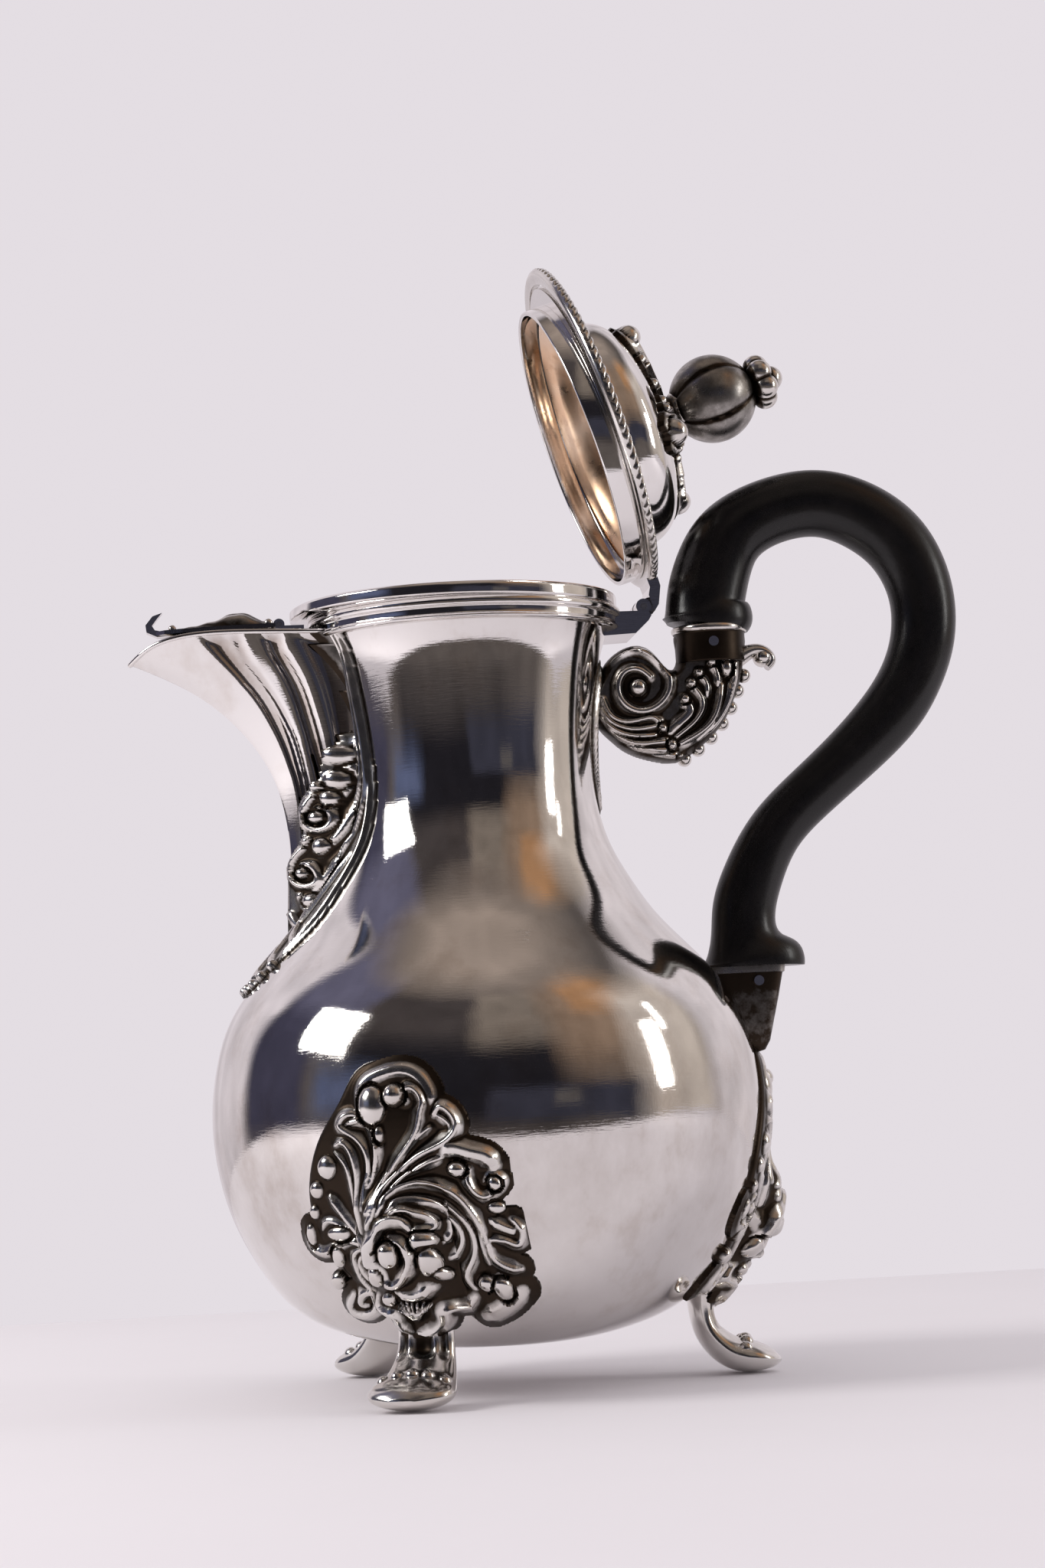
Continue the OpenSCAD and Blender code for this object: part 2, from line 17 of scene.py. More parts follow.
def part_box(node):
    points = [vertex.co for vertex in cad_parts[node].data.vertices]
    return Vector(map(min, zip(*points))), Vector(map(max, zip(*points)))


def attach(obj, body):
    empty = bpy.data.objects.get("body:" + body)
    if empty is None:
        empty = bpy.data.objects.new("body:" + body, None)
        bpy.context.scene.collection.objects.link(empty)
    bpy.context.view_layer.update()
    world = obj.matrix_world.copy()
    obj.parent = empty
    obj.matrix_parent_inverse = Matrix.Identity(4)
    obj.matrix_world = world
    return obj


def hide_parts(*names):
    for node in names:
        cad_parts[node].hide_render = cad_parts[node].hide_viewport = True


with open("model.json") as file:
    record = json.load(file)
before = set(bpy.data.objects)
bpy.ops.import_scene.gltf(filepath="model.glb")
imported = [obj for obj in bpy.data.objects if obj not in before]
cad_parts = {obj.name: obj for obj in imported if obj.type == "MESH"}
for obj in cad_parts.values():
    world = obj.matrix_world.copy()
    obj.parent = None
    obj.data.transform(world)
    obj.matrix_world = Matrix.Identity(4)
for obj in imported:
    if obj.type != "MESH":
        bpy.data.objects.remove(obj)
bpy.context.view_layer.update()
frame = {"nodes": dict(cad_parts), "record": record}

MM = 0.001
BODY_NODES = ["body_bottom", "body_base", "body_belly", "body_upper", "body_shoulder", "body_neck"]
body_low, body_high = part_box("body_neck")
AXIS_X = (body_low.x + body_high.x) / 2

# ---- sizes that part.scad and this script share, in mm ----

BELLY_R = 67.6
NECK_R = 30.5
BASE_Z = 10.6
WALL = 1.2
NECK_TOP = 187.0
RIM_R = 40.9
RIM_Z = 193.7
RIM_SHIFT = 2.6
MOUTH_R = 37.4
FOOT_AZ = {"rear": 0, "left": 117, "right": -114}
HINGE = (44.3, 190.5)
LID_OPEN = 72
BORDER_SHIFT = 3.2
BORDER_R = 42.5
BORDER_IN = 39.6
FLANGE_Z = 194.0
BEZEL_R = 36.4
BUD_R = 11.3
BUD_Z = 227.5
BUD_TURN = -18
BUD_LOBES = 5

# ---- curves ----


def spline(points, steps=8):
    """Curve with continuous curvature through all the points, with steps points to a stretch."""
    p = np.asarray(points, float)
    if len(p) == 2:
        return p[0] + (p[1] - p[0]) * np.linspace(0, 1, steps + 1)[:, None]
    gap = np.sqrt(np.linalg.norm(np.diff(p[:, :2], axis=0), axis=1))
    n = len(p)
    a = np.eye(n)
    b = np.zeros_like(p)
    for i in range(1, n - 1):
        a[i, i - 1:i + 2] = gap[i - 1], 2 * (gap[i - 1] + gap[i]), gap[i]
        b[i] = 6 * ((p[i + 1] - p[i]) / gap[i] - (p[i] - p[i - 1]) / gap[i - 1])
    bend = np.linalg.solve(a, b)
    t = np.arange(steps)[:, None] / steps
    rows = []
    for i in range(n - 1):
        h = gap[i] ** 2 / 6
        rows.append(p[i] * (1 - t) + p[i + 1] * t
                    - h * ((1 - t) * (1 - (1 - t) ** 2) * bend[i] + t * (1 - t ** 2) * bend[i + 1]))
    return np.vstack(rows + [p[-1:]])


def tangents(line):
    """Unit directions along a line."""
    t = np.gradient(line, axis=0)
    return t / np.linalg.norm(t, axis=1)[:, None]


def smooth_outline(corners):
    """Closed curve through the corners."""
    return spline(corners + corners[:1], 4)[:-1]


def shifted(line, out):
    """Outline moved by out at right angles to itself, to the right of its direction."""
    t = tangents(line)
    return line + out * np.column_stack([t[:, 1], -t[:, 0]])


def rounded(outline, radius, steps=4):
    """Closed outline with each corner cut back by radius and rounded."""
    p = np.asarray(outline, float)
    out = []
    for i in range(len(p)):
        before = p[i - 1] - p[i]
        after = p[(i + 1) % len(p)] - p[i]
        reach = min(radius, np.linalg.norm(before) / 2.2, np.linalg.norm(after) / 2.2)
        a = p[i] + before / np.linalg.norm(before) * reach
        c = p[i] + after / np.linalg.norm(after) * reach
        for k in range(steps + 1):
            t = k / steps
            out.append((1 - t) ** 2 * a + 2 * t * (1 - t) * p[i] + t * t * c)
    return np.array(out)


# Half section of the body, from the middle of the underside to the top of the neck: radius, height
BODY_KNOTS = [(-0.3 * BELLY_R, BASE_Z + 0.6), (0, BASE_Z), (0.3 * BELLY_R, BASE_Z + 0.6),
              (0.53 * BELLY_R, 14.5), (0.72 * BELLY_R, 21), (0.865 * BELLY_R, 33.5), (0.96 * BELLY_R, 48),
              (BELLY_R, 66.5), (0.977 * BELLY_R, 81), (0.915 * BELLY_R, 93), (0.785 * BELLY_R, 104.5),
              (1.455 * NECK_R, 114), (1.24 * NECK_R, 124), (1.095 * NECK_R, 133), (1.016 * NECK_R, 143),
              (NECK_R, 152), (1.02 * NECK_R, 162), (1.06 * NECK_R, 172), (1.12 * NECK_R, 181),
              (1.22 * NECK_R, NECK_TOP), (1.34 * NECK_R, 191)]
PROFILE_STEPS = 9
body_line = spline(BODY_KNOTS, PROFILE_STEPS)[PROFILE_STEPS:-PROFILE_STEPS]
body_line[0] = (0, BASE_Z)


def body_r(z):
    """Outer radius of the body at a height."""
    return np.interp(z, body_line[:, 1], body_line[:, 0])


# ---- meshes ----


def grid_faces(rows, cols, close_rows=False, close_cols=False, start=0):
    """Quads of a grid of points, row by row."""
    i, j = np.meshgrid(np.arange(rows - (not close_rows)), np.arange(cols - (not close_cols)), indexing="ij")
    i2 = (i + 1) % rows
    j2 = (j + 1) % cols
    quads = np.stack([i * cols + j, i * cols + j2, i2 * cols + j2, i2 * cols + j], -1)
    return (quads.reshape(-1, 4) + start).tolist()


def place(points):
    """Points in mm about the body's axis, as metres in the frame."""
    return np.asarray(points, float) * MM + np.array([AXIS_X, 0, 0])


def turned(points, degrees):
    """Points turned about the body's axis."""
    a = math.radians(degrees)
    spin = np.array([[math.cos(a), math.sin(a), 0], [-math.sin(a), math.cos(a), 0], [0, 0, 1]])
    return np.asarray(points, float) @ spin


def swung(points):
    """Points of the shut lid, swung open about its hinge."""
    a = math.radians(LID_OPEN)
    pivot = np.array([HINGE[0], 0, HINGE[1]])
    spin = np.array([[math.cos(a), 0, -math.sin(a)], [0, 1, 0], [math.sin(a), 0, math.cos(a)]])
    return (np.asarray(points, float) - pivot) @ spin + pivot


class Shape:
    """Points and faces gathered from several forms, with a share of dark at each point: oxide patina, and
    painted shade in hollows, under things and between parts.
    """

    def __init__(self):
        self.points = []
        self.faces = []
        self.patina_and_shade = []
        self.count = 0

    def add(self, points, faces, patina_and_shade=0.0):
        points = np.asarray(points, float)
        self.points.append(points)
        self.faces += [[k + self.count for k in f] for f in faces]
        self.patina_and_shade.append(np.broadcast_to(np.asarray(patina_and_shade, float), len(points)))
        self.count += len(points)
        return self

    def all_points(self):
        return np.vstack(self.points)


def piece(name, shape, body, nodes, slot, sharp=40, move=None):
    """Makes a piece of the object from a shape, hangs it on what it rides on and hides the CAD parts that it
    stands for.
    """
    points = shape.all_points()
    if move is not None:
        points = move(points)
    mesh = bpy.data.meshes.new(name)
    mesh.from_pydata(place(points).tolist(), [], shape.faces)
    mesh.attributes.new("patina_and_shade", "FLOAT", "POINT").data.foreach_set("value", np.concatenate(shape.patina_and_shade))
    work = bmesh.new()
    work.from_mesh(mesh)
    bmesh.ops.remove_doubles(work, verts=work.verts, dist=2e-6)
    loose = [v for v in work.verts if not v.link_faces]
    bmesh.ops.delete(work, geom=loose, context="VERTS")
    bmesh.ops.recalc_face_normals(work, faces=work.faces)
    work.to_mesh(mesh)
    work.free()
    mesh.polygons.foreach_set("use_smooth", [True] * len(mesh.polygons))
    mesh.set_sharp_from_angle(angle=math.radians(sharp))
    mesh.materials.append(materials[slot])
    obj = bpy.data.objects.new(name, mesh)
    bpy.context.scene.collection.objects.link(obj)
    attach(obj, body)
    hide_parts(*nodes)
    return obj


def revolve(section, cols=160, centre=0.0, closed=True, ripple=None):
    """Points and faces of a section (radius, height) turned about an upright axis at x = centre."""
    section = np.asarray(section, float)
    a = np.arange(cols) * 2 * math.pi / cols
    r = section[:, :1] + (0 if ripple is None else ripple(a[None, :], section[:, 1:2]))
    z = np.broadcast_to(section[:, 1:2], (len(section), cols))
    points = np.stack([centre + r * np.cos(a), r * np.sin(a), z], -1)
    return points.reshape(-1, 3), grid_faces(len(section), cols, closed, True)


def oval(around, power=1.0):
    """Cosines and sines round a circle; a power under 1 squares it up."""
    k = np.arange(around) * 2 * math.pi / around
    c = np.sign(np.cos(k)) * np.abs(np.cos(k)) ** power
    s = np.sign(np.sin(k)) * np.abs(np.sin(k)) ** power
    return c, s


def sweep(centres, across_a, across_b, half_a, half_b, around=32):
    """Points and faces of a closed rod: an oval of half_a by half_b along the two across directions."""
    c, s = oval(around)
    rings = (centres[:, None] + across_a[:, None] * (half_a[:, None] * c)[..., None]
             + across_b[:, None] * (half_b[:, None] * s)[..., None])
    n = len(centres)
    faces = grid_faces(n, around, False, True)
    faces.append(list(range(around))[::-1])
    faces.append([(n - 1) * around + j for j in range(around)])
    return rings.reshape(-1, 3), faces


def rod_in_plane(stations, steps, around=48):
    """Rod with its middle line in the XZ plane; stations are (x, z, width in the plane, width across)."""
    line = spline(stations, steps)
    t = tangents(line[:, :2])
    flat = np.zeros(len(line))
    centres = np.column_stack([line[:, 0], flat, line[:, 1]])
    normal = np.column_stack([t[:, 1], flat, -t[:, 0]])
    side = np.tile([0.0, 1.0, 0.0], (len(line), 1))
    return sweep(centres, normal, side, line[:, 2] / 2, line[:, 3] / 2, around)


def ball(centre, radii, rows=14, cols=24):
    """Points and faces of an oval ball, with its poles above and below."""
    lat = np.linspace(-math.pi / 2, math.pi / 2, rows + 1)[:, None]
    lon = np.arange(cols) * 2 * math.pi / cols
    unit = np.stack([np.cos(lat) * np.cos(lon), np.cos(lat) * np.sin(lon), np.sin(lat) + 0 * lon], -1)
    points = unit.reshape(-1, 3) * np.asarray(radii, float)
    return points + np.asarray(centre, float), grid_faces(rows + 1, cols, False, True)


# ---- materials ----

materials = {}


def new_material(name):
    """Adds a material under its slot's name, and returns its tree and shader."""
    mat = bpy.data.materials.new(name)
    mat.use_nodes = True
    materials[name] = mat
    return mat.node_tree, mat.node_tree.nodes["Principled BSDF"]


def node(tree, kind, values=None, **settings):
    """Adds a node, sets its properties and the values of its inputs."""
    made = tree.nodes.new(kind)
    for key, value in settings.items():
        setattr(made, key, value)
    for key, value in (values or {}).items():
        made.inputs[key].default_value = value
    return made


def noise(tree, scale, stretch=(1, 1, 1), detail=3.0, rough=0.55):
    """Procedural noise over the object's own coordinates, in metres."""
    where = node(tree, "ShaderNodeTexCoord")
    mapping = node(tree, "ShaderNodeMapping", {"Scale": stretch})
    made = node(tree, "ShaderNodeTexNoise", {"Scale": scale, "Detail": detail, "Roughness": rough})
    tree.links.new(where.outputs["Object"], mapping.inputs["Vector"])
    tree.links.new(mapping.outputs["Vector"], made.inputs["Vector"])
    return made.outputs["Fac"]


def ramp(tree, source, stops):
    """Colour ramp over source; stops are (position, colour)."""
    made = node(tree, "ShaderNodeValToRGB")
    elements = made.color_ramp.elements
    while len(elements) < len(stops):
        elements.new(0.5)
    for element, (position, colour) in zip(elements, stops):
        element.position = position
        element.color = (*colour, 1)
    tree.links.new(source, made.inputs["Fac"])
    return made.outputs["Color"]


def grey_ramp(tree, source, low, high, start=0.3, end=0.7):
    """Value from low to high as source goes from start to end."""
    made = node(tree, "ShaderNodeMapRange",
                {"From Min": start, "From Max": end, "To Min": low, "To Max": high})
    tree.links.new(source, made.inputs["Value"])
    return made.outputs["Result"]


def mixed(tree, share, first, second):
    """Colour mix of two colours or outputs by share."""
    made = node(tree, "ShaderNodeMix", data_type="RGBA")
    for socket, value in ((made.inputs[6], first), (made.inputs[7], second)):
        if isinstance(value, bpy.types.NodeSocket):
            tree.links.new(value, socket)
        else:
            socket.default_value = (*value, 1)
    if isinstance(share, bpy.types.NodeSocket):
        tree.links.new(share, made.inputs[0])
    else:
        made.inputs[0].default_value = share
    return made.outputs[2]


def maths(tree, operation, first, second):
    """Result of a maths node on two values or outputs."""
    made = node(tree, "ShaderNodeMath", operation=operation)
    for socket, value in zip(made.inputs, (first, second)):
        if isinstance(value, bpy.types.NodeSocket):
            tree.links.new(value, socket)
        else:
            socket.default_value = value
    return made.outputs[0]


def bumps(tree, shader, layers):
    """Chains bump layers (height output, depth in metres) into the shader's normal."""
    normal = None
    for height, depth in layers:
        made = node(tree, "ShaderNodeBump", {"Distance": depth, "Strength": 1.0})
        tree.links.new(height, made.inputs["Height"])
        if normal is not None:
            tree.links.new(normal, made.inputs["Normal"])
        normal = made.outputs["Normal"]
    tree.links.new(normal, shader.inputs["Normal"])


def make_polished_silver():
    """Hand-polished silver: fine scratches, light smudging and a faint warm and cool drift."""
    tree, shader = new_material("polished_silver")
    shader.inputs["Metallic"].default_value = 1.0
    drift = noise(tree, 22, detail=2)
    smudge = noise(tree, 60, (1, 1, 0.7), detail=5, rough=0.65)
    streak = noise(tree, 260, (1, 1, 9), detail=4)
    cross = noise(tree, 420, (5, 5, 1), detail=3)
    colour = ramp(tree, drift, [(0.3, (0.80, 0.775, 0.75)), (0.7, (0.86, 0.84, 0.825))])
    darkening = grey_ramp(tree, smudge, 0.0, 0.8, 0.52, 0.80)
    colour = mixed(tree, darkening, colour, (0.66, 0.60, 0.55))
    # The per-point share of dark browns the silver: a faint even tarnish, with painted shade on the lower
    # belly and in the spout's flutes.
    patina_and_shade = node(tree, "ShaderNodeAttribute", attribute_name="patina_and_shade").outputs["Fac"]
    tarnish_and_shade = maths(tree, "MULTIPLY", patina_and_shade, grey_ramp(tree, smudge, 0.35, 1.0, 0.35, 0.65))
    tree.links.new(mixed(tree, tarnish_and_shade, colour, (0.30, 0.235, 0.19)), shader.inputs["Base Color"])
    haze = grey_ramp(tree, smudge, 0.022, 0.085, 0.35, 0.8)
    fine = grey_ramp(tree, streak, 0.0, 0.03)
    tree.links.new(maths(tree, "ADD", haze, fine), shader.inputs["Roughness"])
    bumps(tree, shader, [(streak, 0.000012), (cross, 0.000006)])


def make_oxidised_silver():
    """Cast silver, bright on its high points and brown-black in its recesses, where oxide patina and painted
    shade are laid on together.
    """
    tree, shader = new_material("oxidised_silver")
    patina_and_shade = node(tree, "ShaderNodeAttribute", attribute_name="patina_and_shade").outputs["Fac"]
    grime = noise(tree, 380, detail=5, rough=0.65)
    broad = noise(tree, 70, detail=3)
    dark = grey_ramp(tree, grime, -0.09, 0.09)
    share = maths(tree, "ADD", patina_and_shade, dark)
    share = grey_ramp(tree, share, 0.10, 1.0, 0.08, 0.66)
    bright = ramp(tree, broad, [(0.3, (0.74, 0.70, 0.66)), (0.7, (0.86, 0.84, 0.81))])
    tree.links.new(mixed(tree, share, bright, (0.036, 0.026, 0.019)), shader.inputs["Base Color"])
    rough = grey_ramp(tree, share, 0.11, 0.34, 0.0, 1.0)
    wear = grey_ramp(tree, grime, 0.0, 0.07)
    tree.links.new(maths(tree, "ADD", rough, wear), shader.inputs["Roughness"])
    shader.inputs["Metallic"].default_value = 1.0
    bumps(tree, shader, [(grime, 0.00003)])


def make_ebonised_wood():
    """Black ebonised hardwood with a satin sheen, faint grain along its length and small pores."""
    tree, shader = new_material("ebonised_wood")
    grain = noise(tree, 160, (1, 7, 1), detail=5, rough=0.6)
    pores = noise(tree, 900, (1, 3, 1), detail=2)
    rub = noise(tree, 35, detail=3)
    colour = ramp(tree, grain, [(0.3, (0.0028, 0.0025, 0.0028)), (0.75, (0.0065, 0.0052, 0.0052))])
    tree.links.new(colour, shader.inputs["Base Color"])
    satin = grey_ramp(tree, rub, 0.20, 0.32)
    tree.links.new(maths(tree, "ADD", satin, grey_ramp(tree, pores, 0.0, 0.06)), shader.inputs["Roughness"])
    shader.inputs["Specular IOR Level"].default_value = 0.34
    shader.inputs["Coat Weight"].default_value = 0.12
    shader.inputs["Coat Roughness"].default_value = 0.18
    bumps(tree, shader, [(grain, 0.00004), (pores, 0.000015)])


def make_gilt_silver():
    """Warm gilt wash, peach where it is thick and silvery where it is worn."""
    tree, shader = new_material("gilt_silver")
    shader.inputs["Metallic"].default_value = 1.0
    wash = noise(tree, 32, detail=4, rough=0.6)
    spots = noise(tree, 140, detail=5, rough=0.7)
    colour = ramp(tree, wash, [(0.25, (0.70, 0.42, 0.24)), (0.5, (0.82, 0.56, 0.37)),
                               (0.78, (0.84, 0.70, 0.56))])
    darkening = grey_ramp(tree, spots, 0.0, 0.7, 0.55, 0.8)
    tree.links.new(mixed(tree, darkening, colour, (0.46, 0.24, 0.12)), shader.inputs["Base Color"])
    tree.links.new(grey_ramp(tree, spots, 0.22, 0.42), shader.inputs["Roughness"])
    bumps(tree, shader, [(spots, 0.00003)])


# ---- camera, floor, lights and the room that the silver reflects ----

# Place of the eye in mm about the body's axis, and the way it looks, in degrees
EYE = (-74.5, -851.7, 69.4)
EYE_YAW = 5.85
EYE_PITCH = 5.25
EYE_ROLL = -2.81
LENS = 79.1
# The backdrop as the camera sees it
BACKDROP = (0.775, 0.728, 0.768)
FLOOR_TINT = (0.83, 0.795, 0.82)
# Front edge of the table, which the belly mirrors as a sharp line, and its other edges, in mm
TABLE_FRONT = -400
TABLE_SIDE = 2200
TABLE_BACK = 380


def make_camera():
    """Camera that stands where the photo was taken from."""
    yaw, pitch, roll = (math.radians(a) for a in (EYE_YAW, EYE_PITCH, EYE_ROLL))
    ahead = Vector((math.sin(yaw) * math.cos(pitch), math.cos(yaw) * math.cos(pitch), math.sin(pitch)))
    level = Vector((math.cos(yaw), -math.sin(yaw), 0))
    up = level.cross(ahead)
    right = math.cos(roll) * level + math.sin(roll) * up
    top = math.cos(roll) * up - math.sin(roll) * level
    data = bpy.data.cameras.new("camera")
    data.lens = LENS
    data.sensor_width = 36
    data.clip_start = 0.01
    camera = bpy.data.objects.new("camera", data)
    turn = Matrix((right, top, -ahead)).transposed().to_4x4()
    camera.matrix_world = Matrix.Translation(place([EYE])[0].tolist()) @ turn
    bpy.context.scene.collection.objects.link(camera)
    bpy.context.scene.camera = camera


def make_floor():
    """Pale paper floor, whose front edge the belly mirrors."""
    corners = [(-TABLE_SIDE, TABLE_FRONT, 0), (TABLE_SIDE, TABLE_FRONT, 0), (TABLE_SIDE, TABLE_BACK, 0),
               (-TABLE_SIDE, TABLE_BACK, 0)]
    mesh = bpy.data.meshes.new("floor")
    mesh.from_pydata(place(corners).tolist(), [], [(0, 1, 2, 3)])
    mat = bpy.data.materials.new("floor")
    mat.use_nodes = True
    tree = mat.node_tree
    shader = tree.nodes["Principled BSDF"]
    paper = noise(tree, 9, detail=4)
    tint = ramp(tree, paper, [(0.3, FLOOR_TINT), (0.7, tuple(c * 1.015 for c in FLOOR_TINT))])
    tree.links.new(tint, shader.inputs["Base Color"])
    shader.inputs["Roughness"].default_value = 0.75
    shader.inputs["Specular IOR Level"].default_value = 0.15
    mesh.materials.append(mat)
    floor = bpy.data.objects.new("floor", mesh)
    bpy.context.scene.collection.objects.link(floor)


def direction(azimuth, elevation):
    """Unit vector; azimuth 0 is +X, towards the handle, and -90 is towards the camera."""
    a = math.radians(azimuth)
    e = math.radians(elevation)
    return Vector((math.cos(a) * math.cos(e), math.sin(a) * math.cos(e), math.sin(e)))


# Soft boxes: azimuth, elevation, distance, width, height in mm, brightness, tint
LIGHTS = {
    "key": (-170, 31, 1000, 430, 380, 9.0, (1.0, 0.985, 0.97)),
    "strip": (-17, 15, 1100, 130, 400, 8.0, (1.0, 0.99, 0.98)),
    "slit": (-9, 28, 1100, 40, 260, 5.0, (1.0, 0.99, 0.98)),
}
LIGHT_AIM = (0, 0, 110)


def make_lights():
    """Soft boxes that the camera itself doesn't see."""
    for name, (azimuth, elevation, distance, width, height, glow, tint) in LIGHTS.items():
        data = bpy.data.lights.new(name, "AREA")
        data.shape = "RECTANGLE"
        data.size = width * MM
        data.size_y = height * MM
        data.energy = glow * math.pi * data.size * data.size_y
        data.color = tint
        light = bpy.data.objects.new(name, data)
        away = direction(azimuth, elevation)
        light.location = Vector(place([LIGHT_AIM])[0]) + away * distance * MM
        light.rotation_euler = away.to_track_quat("Z", "Y").to_euler()
        light.visible_camera = False
        bpy.context.scene.collection.objects.link(light)


# What the silver sees round it, as soft-edged patches laid over each other in this order:
# azimuth, elevation, half width, half height in degrees, softness in degrees, colour
ROOM_BASE = (0.115, 0.098, 0.092)
ROOM = [
    (-105, 32, 62, 36, 22, (0.060, 0.050, 0.050)),
    (-108, 12, 50, 18, 12, (0.014, 0.013, 0.017)),
    (-78, 46, 22, 18, 8, (0.20, 0.165, 0.14)),
    (-48, 3, 46, 7, 3, (0.040, 0.040, 0.058)),
    (-62, 5, 7, 3, 2, (0.10, 0.09, 0.09)),
    (-30, 40, 30, 24, 16, (0.26, 0.18, 0.13)),
    (-28, 52, 16, 12, 10, (0.42, 0.23, 0.12)),
    (-4, 20, 22, 28, 14, (0.56, 0.49, 0.44)),
    (48, 14, 32, 36, 12, (0.72, 0.66, 0.69)),
    (112, 10, 34, 46, 8, (0.72, 0.66, 0.70)),
    (165, 30, 20, 34, 9, (0.055, 0.052, 0.085)),
    (172, 52, 26, 14, 12, (0.13, 0.125, 0.19)),
    (-158, 10, 16, 8, 10, (0.10, 0.12, 0.21)),
    (0, 92, 400, 24, 20, (0.34, 0.275, 0.235)),
]
FILL = (0.74, 0.71, 0.735)


def make_world():
    """Room that the silver mirrors, plain backdrop for the camera and even fill for the rest."""
    world = bpy.data.worlds.new("room")
    bpy.context.scene.world = world
    world.use_nodes = True
    tree = world.node_tree
    tree.nodes.clear()
    where = node(tree, "ShaderNodeTexCoord")
    parts = node(tree, "ShaderNodeSeparateXYZ")
    tree.links.new(where.outputs["Generated"], parts.inputs[0])
    degrees = 180 / math.pi
    azimuth = maths(tree, "MULTIPLY", maths(tree, "ARCTAN2", parts.outputs["Y"], parts.outputs["X"]),
                    degrees)
    elevation = maths(tree, "MULTIPLY", maths(tree, "ARCSINE", parts.outputs["Z"], 0), degrees)
    wobble = noise_of(tree, where.outputs["Generated"], 2.6)
    bend = grey_ramp(tree, wobble, -5, 5, 0.2, 0.8)
    colour = ROOM_BASE
    for at_az, at_el, half_az, half_el, soft, tint in ROOM:
        off = maths(tree, "SUBTRACT", azimuth, at_az)
        wrap = node(tree, "ShaderNodeMath", {1: 180, 2: -180}, operation="WRAP")
        tree.links.new(off, wrap.inputs[0])
        off = maths(tree, "ABSOLUTE", wrap.outputs[0], 0)
        off = maths(tree, "ADD", off, bend)
        rise = maths(tree, "ABSOLUTE", maths(tree, "SUBTRACT", elevation, at_el), 0)
        inside_az = grey_ramp(tree, off, 1.0, 0.0, half_az - soft / 2, half_az + soft / 2)
        inside_el = grey_ramp(tree, rise, 1.0, 0.0, half_el - soft / 2, half_el + soft / 2)
        colour = mixed(tree, maths(tree, "MULTIPLY", inside_az, inside_el), colour, tint)
    speckle = noise_of(tree, where.outputs["Generated"], 5)
    detail = grey_ramp(tree, speckle, 0.85, 1.15, 0.3, 0.7)
    textured = node(tree, "ShaderNodeVectorMath", operation="SCALE")
    tree.links.new(colour, textured.inputs[0])
    tree.links.new(detail, textured.inputs["Scale"])
    path = node(tree, "ShaderNodeLightPath")
    seen = mixed(tree, path.outputs["Is Glossy Ray"], FILL, textured.outputs[0])
    seen = mixed(tree, path.outputs["Is Camera Ray"], seen, BACKDROP)
    background = node(tree, "ShaderNodeBackground")
    output = node(tree, "ShaderNodeOutputWorld")
    tree.links.new(seen, background.inputs["Color"])
    tree.links.new(background.outputs[0], output.inputs[0])


def noise_of(tree, vector, scale):
    """Procedural noise over a given vector."""
    made = node(tree, "ShaderNodeTexNoise", {"Scale": scale, "Detail": 3.0})
    tree.links.new(vector, made.inputs["Vector"])
    return made.outputs["Fac"]


# ---- body and rim ----

STRAINER_R = 1.8
BODY_COLS = 192


def hammering(a, z):
    """Slight waviness of a hand-raised wall, in mm."""
    return (0.05 * np.sin(3 * a + z / 19) * np.sin(z / 27 + 1) + 0.025 * np.sin(7 * a - z / 11)
            + 0.012 * np.sin(13 * a + z / 6.5))


def cut_holes(obj, places, radius, depth):
    """Drills round holes along X through a piece."""
    cutter = Shape()
    for x, y, z in places:
        line = np.array([(x - depth, y, z), (x + depth, y, z)], float)
        up = np.tile([0.0, 0.0, 1.0], (2, 1))
        side = np.tile([0.0, 1.0, 0.0], (2, 1))
        cutter.add(*sweep(line, side, up, np.full(2, radius), np.full(2, radius), 20))
    mesh = bpy.data.meshes.new("cutter")
    mesh.from_pydata(place(cutter.all_points()).tolist(), [], cutter.faces)
    tool = bpy.data.objects.new("cutter", mesh)
    bpy.context.scene.collection.objects.link(tool)
    cut = obj.modifiers.new("holes", "BOOLEAN")
    cut.object = tool
    cut.operation = "DIFFERENCE"
    cut.solver = "EXACT"
    graph = bpy.context.evaluated_depsgraph_get()
    done = bpy.data.meshes.new_from_object(obj.evaluated_get(graph), depsgraph=graph)
    obj.modifiers.clear()
    obj.data = done
    bpy.data.objects.remove(tool)


def make_body():
    """Raised wall with its inside, and the strainer holes behind the spout."""
    inner = shifted(body_line, -WALL)[::2]
    inner[0] = (0, inner[0][1])
    inner[-1] = (inner[-1][0], NECK_TOP)
    section = np.vstack([body_line, inner[::-1]])
    points, faces = revolve(section, BODY_COLS, closed=False, ripple=hammering)
    # Painted shade: a brown band round the lower belly, over a faint even tarnish on the whole body.
    darkening = 0.10 + 0.34 * np.exp(-((points[:, 2] - 56) / 19) ** 2)
    shape = Shape().add(points, faces, darkening)
    obj = piece("body", shape, "pot", BODY_NODES, "polished_silver", sharp=50)
    holes = [(-NECK_R, y, z) for z in range(145, 174, 7) for y in (-6.5, 0, 6.5)]
    cut_holes(obj, holes, STRAINER_R, 6)


